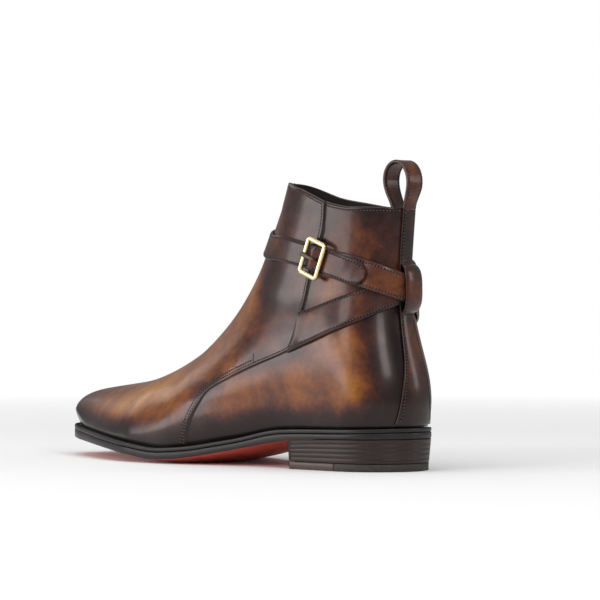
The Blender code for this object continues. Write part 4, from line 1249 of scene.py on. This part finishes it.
def make_heel_part(name, start, end, low, high, inset_low, inset_high, look, slot, node, lifts):
    """A slice of the heel as layers with a fine groove between two of them."""
    outer, inner = sole_outline()
    back = outer[0, 0] + HEEL_MID
    v = np.sin(np.linspace(-90.0, 90.0, 31) * np.pi / 180.0)[None, :]
    rows = 44
    def grid(t, extra):
        inset = inset_low * (1.0 - t) + inset_high * t + extra
        x0 = np.maximum(start(v), back + inset)
        x1 = end(v) - 0.5 * extra
        if start(0.0) <= back:
            u = (1.0 - np.cos(np.linspace(2.0, 90.0, rows) * np.pi / 180.0))[:, None]
        else:
            x0 = x0 + 0.5 * extra
            u = np.linspace(0.0, 1.0, rows)[:, None]
        x = x0 + (x1 - x0) * u
        drawn = np.clip(x - inset, back, None) - HEEL_MID
        y_outer = np.interp(drawn, outer[:, 0], outer[:, 1]) - inset
        y_inner = np.interp(drawn, inner[:, 0], inner[:, 1]) + inset
        y = (y_outer + y_inner) / 2.0 + v * (y_outer - y_inner) / 2.0
        top = high(x) if callable(high) else high + 0.0 * x
        return np.stack([x - HEEL_MID, y, low * (1.0 - t) + top * t], axis=-1)
    steps = [(1.0, 0.3), (0.992, 0.06), (0.975, 0.0)]
    for k in range(lifts - 1, 0, -1):
        at = k / lifts
        steps += [(at + 0.010, 0.0), (at + 0.004, 0.05), (at - 0.004, 0.05), (at - 0.010, 0.0)]
    steps += [(0.025, 0.0), (0.008, 0.06), (0.0, 0.3)]
    loops = [loop_of(grid(t, extra)) for t, extra in steps[1:-1]]
    points, faces, _, _ = stacked(grid(*steps[0]), loops, grid(*steps[-1]))
    mesh_piece(name, points, faces, look, slot, (node,))


def strip_section(thick, across=9):
    top = [(v, thick * (1.0 - 0.12 * abs(v) ** 6)) for v in np.linspace(-0.94, 0.94, across)]
    return top + [(0.985, 0.75 * thick), (1.0, 0.5 * thick), (0.99, 0.1 * thick), (0.95, 0.0)] + \
        [(-0.95, 0.0), (-0.99, 0.1 * thick), (-1.0, 0.5 * thick), (-0.985, 0.75 * thick)]


def back_grid(low, high, lift_of, rows, section):
    """Sections of a strip up the back: each has its place across and its height over the upper."""
    height = np.linspace(low, high, rows)
    across = np.array([p[0] for p in section])
    raise_by = np.array([p[1] for p in section])
    outer, inner = from_table(STAY_EDGES, height, 1), from_table(STAY_EDGES, height, 2)
    y = (outer + inner)[:, None] / 2.0 + (outer - inner)[:, None] / 2.0 * across[None, :]
    heights = np.broadcast_to(height[:, None], y.shape)
    edge_y = np.stack([inner, outer], axis=1)
    edge_turn = turn_at_y(np.stack([height, height], axis=1), edge_y)
    fine = np.linspace(0.0, 1.0, 15)
    turns_line = edge_turn[:, :1] * (1.0 - fine) + edge_turn[:, 1:] * fine
    y_line = at_height(turns_line, height[:, None])[..., 1]
    turn = np.stack([np.interp(a, b, c) for a, b, c in zip(y, y_line, turns_line)])
    rise = rise_at(turn, heights)
    return skin(rise, turn, lift_of(heights) + raise_by[None, :]), last_normal(rise, turn)


def smooth_keeper(height):
    """The keeper's height over the upper: a round bulge, sunk into the backstay at its ends."""
    share = np.clip((height - KEEPER_SEWN[0]) / (KEEPER_SEWN[1] - KEEPER_SEWN[0]), 0.0, 1.0)
    return 0.62 + KEEPER_BULGE * (1.0 - np.abs(2.0 * share - 1.0) ** 2.8) ** 0.45


def make_strip(name, low, high, lift_of, rows, look, node, tone):
    """A strip up the back, whose tone goes by the share of its height."""
    section = strip_section(STAY_THICK)
    grid, _ = back_grid(low, high, lift_of, rows, section)
    piece = mesh_piece(name, *swept(grid), look, "trim_leather", (node,))
    across, level = np.abs([p[0] for p in section]), np.array([p[1] for p in section])
    share = np.linspace(0.0, 1.0, rows)[:, None]
    paint(piece, "tone", np.clip(tone(share) - 0.14 * (across[None, :] > 0.88), 0.02, 1.0))
    paint_sections(piece, "edge", np.where((across > 0.97) & (level < 0.8 * STAY_THICK), 0.6, 0.0), rows)


def loop_sections(count=150):
    line = curve_through([(8.3, 150.4, 11.2), (7.2, 156.0, 11.6)] + LOOP_PATH[2:], count)
    run = unit(np.gradient(line[:, :2], axis=0))
    out = np.stack([-run[:, 1], run[:, 0]], axis=1)
    return line, out


def make_loop(look, thread):
    line, out = loop_sections()
    curl = 0.030 * ease((164.0 - line[:, 1]) / 12.0) * (line[:, 0] < 11.0)
    half = LOOP_THICK / 2.0
    section = [(v, half) for v in np.linspace(-0.93, 0.93, 9)]
    section += [(0.975, half * 0.8), (1.0, half * 0.35), (1.0, -half * 0.35), (0.975, -half * 0.8)]
    section += [(-v, -h) for v, h in section]
    rows = []
    for p, o, bend in zip(line, out, curl):
        row = []
        for v, h in section:
            y = LOOP_Y + v * p[2] / 2.0
            row.append((p[0] + o[0] * h - HEEL_MID + bend * y * y, y, p[1] + o[1] * h))
        rows.append(row)
    piece = mesh_piece("pull_loop_leather", *swept(np.array(rows)), look, "trim_leather", ("pull_loop",))
    across, heights = np.abs([p[0] for p in section]), np.abs([p[1] for p in section])
    share = np.linspace(0.0, 1.0, len(line))[:, None]
    tone = 0.33 + 0.10 * np.exp(-(((share - 0.18) / 0.12) ** 2)) - 0.10 * (across[None, :] > 0.9)
    paint(piece, "tone", np.clip(tone, 0.02, 1.0))
    paint_sections(piece, "edge", np.where((across > 0.99) & (heights < half * 0.5), 0.5, 0.0), len(line))
    parts = []
    for side in (-1.0, 1.0):
        for face in (1.0, -1.0):
            y = LOOP_Y + side * (line[:, 2] / 2.0 - 1.5)
            x = line[:, 0] + out[:, 0] * half * face - HEEL_MID + curl * y * y
            p = np.stack([x, y, line[:, 1] + out[:, 1] * half * face], axis=1)
            o = np.stack([out[:, 0] * face, np.zeros(len(line)), out[:, 1] * face], axis=1)
            parts.append(stitches_on(p[LOOP_SEWN], o[LOOP_SEWN]))
    sew("pull_loop_stitches", parts, thread, "trim_leather")


def make_buckle(gold, dark):
    """The frame with flat, softly rounded bars, its middle bar, and the prong with its cuff."""
    home, run, across, out = buckle_place()
    half = BUCKLE_BAR / 2.0
    broad = half * BAR_BROADER
    path = rounded_loop(BUCKLE_WIDE / 2.0 - broad, BUCKLE_TALL / 2.0 - broad, BUCKLE_CORNER - broad, 9)
    tangent = unit(np.roll(path, -1, axis=0) - np.roll(path, 1, axis=0))
    side = np.stack([tangent[:, 1], -tangent[:, 0]], axis=1)
    rows = []
    for a, b in BAR_SECTION:
        flat = path + side * a * broad
        rows.append(home + flat[:, :1] * run + flat[:, 1:] * across + b * half * out)
    grid = np.stack(rows)
    faces = outward(grid, torus_faces(*grid.shape[:2]))
    mesh_piece("buckle_frame", grid.reshape(-1, 3), faces, gold, "buckle_metal", ("buckle",))
    reach = BUCKLE_TALL / 2.0 - half
    side_of_bar = [(reach - 2.0, -MID_BAR_DROP), (reach - 0.6, -MID_BAR_DROP * 0.55), (reach + 0.2, 0)]
    places = [(0, -y, z) for y, z in side_of_bar[::-1]] + [(0, y, z) for y, z in side_of_bar]
    bar = rod(curve_through(places, 40), np.full(40, MID_BAR / 2.0), 12)
    mesh_piece("buckle_middle_bar", *bar, dark, "buckle_metal")
    over = half + GAP + PRONG / 2.0
    tip = -BUCKLE_WIDE / 2.0 - 0.3
    places = [(PRONG_ROOT, 0, 1.15), (0.0, 0, 1.4), (tip + 2.6, 0, over + 0.15), (tip, 0, over - 0.25)]
    radius = np.interp(np.linspace(0.0, 1.0, 30), [0.0, 0.25, 0.7, 0.97, 1.0], [0.5, 0.85, 0.95, 0.85, 0.3])
    pin = rod(curve_through(places, 30), radius, 12)
    turn = np.radians(np.arange(0, 360, 15))[:, None]
    wide, tall = (np.sign(v) * np.abs(v) ** 0.5 for v in (np.cos(turn), np.sin(turn)))
    front_bar = home - (BUCKLE_WIDE / 2.0 - broad) * run
    rows = []
    for place, more in CUFF_ROWS:
        rows.append(front_bar + place * across + wide * (broad + more) * run + tall * (half + more) * out)
    mesh_piece("buckle_prong", *join([pin, swept(np.stack(rows))]), dark, "buckle_metal", ("prong",))


def rod(path, radius, sides):
    """A round bar along a path given from the buckle's own place."""
    home, run_way, across_way, out_way = buckle_place()
    path = home + path[:, :1] * run_way + path[:, 1:2] * across_way + path[:, 2:] * out_way
    run = unit(np.gradient(path, axis=0))
    guide = run_way if abs(run.mean(axis=0) @ run_way) < 0.7 else across_way
    side = unit(np.cross(run, guide))
    other = np.cross(run, side)
    angle = (np.arange(sides) * 2.0 * np.pi / sides)[None, :, None]
    around = np.cos(angle) * side[:, None, :] + np.sin(angle) * other[:, None, :]
    return swept(path[:, None, :] + radius[:, None, None] * around)


def strap_stitches(path, thick, inset, from_start, from_end, round_end=0.0, tuck=False, lean=()):
    """Rows of stitches along both edges of a strap."""
    parts = []
    for sign in (-1.0, 1.0):
        lines = []
        for level in (1.0, 3.0):
            grid, at = strap_grid(path, thick, 420, [(sign * 0.5, level)], round_end, inset, tuck, lean)
            lines.append(grid[:, 0])
        out = unit(lines[1] - lines[0])
        keep = (at > from_start) & (at < at[-1] - from_end)
        parts.append(stitches_on(lines[0][keep] - out[keep] * 0.04, out[keep]))
    return parts


def make_strap_stitches(thread):
    parts = strap_stitches(started_early(WRAP_PATH), STRAP_THICK, 1.7, 1.0, 1.8, TAIL_ROUND, True)
    sew("wrap_strap_stitches", parts, thread, "trim_leather")
    parts = strap_stitches(ANCHOR_PATH, STRAP_THICK, 1.7, 2.0, 2.0, lean=STRAP_LEAN)
    sew("buckle_strap_stitches", parts, thread, "trim_leather")


def make_seam_stitches(thread):
    parts = []
    for inner in (False, True):
        for offset, low, high in ((1.5, 12.0, 154.0), (3.3, 12.0, 60.0)):
            line, out = line_by_seam(offset, low, high, inner)
            parts.append(stitches_on(line, out))
        line, out = collar_line(inner)
        parts.append(stitches_on(line, out))
        line, out = on_upper(np.linspace(97.6, 98.4, 20), np.linspace(61.0, 67.4, 20), inner)
        parts.append(stitches_on(line, out, 1.25, 0.95))
    sew("seam_stitches", parts, thread, "upper_leather")


def collar_line(inner):
    """A line just under the top edge of the quarter and the flap, clear of the backstay."""
    turn = np.linspace(9.0, 172.0, 240)
    rise = rise_at(turn, 400.0)
    top = side_view(rise, edge_share(turn))[:, 1]
    rise = rise_at(turn, top - 1.7)
    if inner:
        turn = 360.0 - turn
    normals = last_normal(rise, turn)
    return raised_flap(skin(rise, turn), normals, inner), normals


def make_back_stitches(thread):
    """Rows up both edges of the backstay, below and above the keeper, and across the keeper's ends."""
    parts = []
    for side in (-0.86, 0.86):
        for low, high, share in ((28.6, 87.6, 0.98), (122.4, 149.6, 0.9)):
            grid, out = back_grid(low, high, stay_lift, 160, [(side * share, STAY_THICK)])
            parts.append(stitches_on(grid[:, 0], out[:, 0]))
    for height in (KEEPER_SEWN[0] - 1.0, KEEPER_SEWN[1] + 1.0):
        section = [(v, STAY_THICK) for v in np.linspace(-0.86, 0.86, 30)]
        grid, out = back_grid(height - 0.01, height + 0.01, smooth_keeper, 2, section)
        parts.append(stitches_on(grid[0], out[0]))
    sew("back_stitches", parts, thread, "trim_leather")


def make_welt_ribs(look):
    """Fine ribs pressed across the edge of the welt, from the waist round the toe and back."""
    turn = np.linspace(62.0, 298.0, 2400)
    edge, level = plan_ring(turn, sole_reach(turn) - 0.25)
    inside, _ = plan_ring(turn, sole_reach(turn) - 2.6)
    height = level - GAP - SEAT_EXTRA
    outer = np.concatenate([edge, height[:, None]], axis=1)
    inner = np.concatenate([inside, height[:, None]], axis=1)
    length = run_length(outer)
    at = np.arange(1.0, length[-1] - 1.0, 1.75)
    points, faces = [], []
    for k, q in enumerate(at):
        for line, lift in ((outer, -0.25), (outer, 0.2), (inner, 0.2), (inner, -0.1)):
            for d, drop in ((-0.62, -0.3), (0.0, 0.0), (0.62, -0.3)):
                p = sampled(line, length, np.array([q + d]))[0]
                points.append((p[0], p[1], p[2] + lift + drop))
        base = k * 12
        for row in range(3):
            for col in range(2):
                a = base + row * 3 + col
                faces.append((a, a + 1, a + 4, a + 3))
    mesh_piece("welt_ribs", points, faces, look, "welt_leather")


def make_hole_shade(dark):
    """The punched hole in the strap inside the buckle, as a near-black disc of painted shade over the strap."""
    turn = np.array(HOLE_TURN)
    path = np.array(WRAP_PATH)[::-1]
    rise = rise_at(turn, from_table(path, turn - 360.0))
    centre = skin(rise, turn, from_table(path, turn - 360.0, 3) + STRAP_THICK)
    out = last_normal(rise, turn)
    run = unit(last_point(rise, turn + 1.0) - last_point(rise, turn - 1.0))
    angle = np.radians(np.arange(0, 360, 15))[:, None]
    around = run * np.cos(angle) + np.cross(out, run) * np.sin(angle)
    grid = np.stack([centre + around * radius + out * height for radius, height in HOLE_RINGS])
    faces = outward_from(grid, sheet_faces(*grid.shape[:2], wrap=True), out[None, :])
    piece = mesh_piece("strap_hole_shade", grid.reshape(-1, 3), faces, dark, "trim_leather")
    # Groove value 1 gives the disc the thread look's near-black painted shade.
    paint(piece, "groove", np.ones(grid.size // 3))


def place_camera():
    data = bpy.data.cameras.new("camera")
    data.sensor_width = 36.0
    data.lens = 2838.0 / 600.0 * 36.0
    made = bpy.data.objects.new("camera", data)
    bpy.context.scene.collection.objects.link(made)
    made.location = (-1.13775, 1.19770, 0.0961)
    made.rotation_euler = (math.radians(90.0) + 4.0 / 2838.0, 0.0, math.radians(-135.0))
    bpy.context.scene.camera = made


def area_light(name, place, aim, size, power, tall=None):
    data = bpy.data.lights.new(name, "AREA")
    data.energy = power
    data.size = size
    if tall:
        data.shape = "RECTANGLE"
        data.size_y = tall
    made = bpy.data.objects.new(name, data)
    bpy.context.scene.collection.objects.link(made)
    made.location = place
    toward = unit(np.array(aim) - np.array(place))
    made.rotation_euler = (math.acos(-toward[2]), 0.0, math.atan2(toward[1], toward[0]) - math.pi / 2.0)


def make_stage():
    """A white floor that fades out into a white studio. What lights the boot is softer than what is seen."""
    mesh = bpy.data.meshes.new("studio_floor")
    rim = []
    for angle in np.arange(64) * 2.0 * np.pi / 64:
        x, y = FLOOR_MID[0] + FLOOR_REACH * np.cos(angle), FLOOR_MID[1] + FLOOR_REACH * np.sin(angle)
        rim.append((x, y, 0.0))
    mesh.from_pydata(rim, [], [tuple(range(64))])
    s = Shader("studio_white")
    s.set(Base_Color=(0.93, 0.93, 0.93, 1.0), Roughness=0.9, Specular_IOR_Level=0.1)
    away = s.node("ShaderNodeVectorMath", operation="DISTANCE")
    s.link(s.place, away.inputs[0])
    away.inputs[1].default_value = (*FLOOR_MID, 0.0)
    s.link(s.spread(away.outputs["Value"], 0.45, FLOOR_REACH * 0.98, 1.0, 0.0), s.main.inputs["Alpha"])
    mesh.materials.append(s.material)
    made = bpy.data.objects.new("studio_floor", mesh)
    bpy.context.scene.collection.objects.link(made)
    world = bpy.data.worlds.new("studio")
    bpy.context.scene.world = world
    world.use_nodes = True
    tree = world.node_tree
    soft = tree.nodes["Background"]
    soft.inputs["Color"].default_value = (1.0, 1.0, 1.0, 1.0)
    soft.inputs["Strength"].default_value = 0.27
    seen = tree.nodes.new("ShaderNodeBackground")
    seen.inputs["Color"].default_value = (1.0, 1.0, 1.0, 1.0)
    seen.inputs["Strength"].default_value = 1.0
    ray = tree.nodes.new("ShaderNodeLightPath")
    mix = tree.nodes.new("ShaderNodeMixShader")
    tree.links.new(ray.outputs["Is Camera Ray"], mix.inputs["Fac"])
    tree.links.new(soft.outputs["Background"], mix.inputs[1])
    tree.links.new(seen.outputs["Background"], mix.inputs[2])
    tree.links.new(mix.outputs["Shader"], tree.nodes["World Output"].inputs["Surface"])
    bpy.context.scene.view_settings.view_transform = "Standard"


def light_studio():
    aim = (0.05, 0.02, 0.08)
    area_light("overhead", (0.1, 0.2, 2.2), (0.1, 0.0, 0.0), 3.0, 37.0)
    area_light("broad", (0.92, 1.5, 0.36), aim, 1.7, 15.0, tall=0.45)
    area_light("high_side", (0.07, 1.6, 0.80), aim, 0.5, 4.4, tall=0.4)
    area_light("heel_side", (-1.23, 0.44, 0.74), aim, 0.36, 4.2, tall=0.4)
    area_light("toe_side", (1.55, -0.08, 0.82), aim, 0.6, 1.0, tall=0.4)
    area_light("back_rim", (-1.2, -1.1, 0.55), aim, 0.3, 3.4, tall=0.6)


def stay_tone(share):
    light = 0.19 * np.exp(-(((share - 0.32) / 0.16) ** 2))
    return 0.17 + light - 0.12 * np.exp(-((share / 0.10) ** 2))


def keeper_tone(share):
    return 0.26 + 0.10 * np.exp(-(((share - 0.5) / 0.3) ** 2))


def main():
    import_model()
    place_camera()
    make_stage()
    leather = calf("upper_calf")
    trim = calf("trim_calf", coat=0.50, rough=0.42)
    lining = lining_look()
    dark_thread = thread_look("dark_thread", (0.150, 0.115, 0.110))
    edge_look = sole_edge_look()
    make_upper(leather)
    make_lining(lining)
    make_strap("wrap_strap_leather", started_early(WRAP_PATH), STRAP_THICK, 330, trim, "wrap_strap", 0.31, [],
               TAIL_ROUND, True)
    make_strap("buckle_strap_leather", ANCHOR_PATH, STRAP_THICK, 170, trim, "buckle_strap", 0.30,
               [(38.0, 13.0, 0.26)], lean=STRAP_LEAN)
    make_strap_stitches(dark_thread)
    make_seam_stitches(dark_thread)
    make_back_stitches(dark_thread)
    make_strip("backstay_leather", STAY_EDGES[0][0] + STAY_CLEAR, STAY_EDGES[-1][0], stay_lift, 150, trim,
               "backstay", stay_tone)
    make_strip("keeper_leather", KEEPER_SEWN[0] - 2.4, KEEPER_SEWN[1] + 2.4, smooth_keeper, 90, trim,
               "keeper", keeper_tone)
    make_loop(trim, dark_thread)
    make_sole(edge_look, red_look(), heel_look(), rubber_look(), tip_look(), lining)
    make_welt_ribs(edge_look)
    make_buckle(gold_look(), prong_look())
    make_hole_shade(dark_thread)
    light_studio()


main()
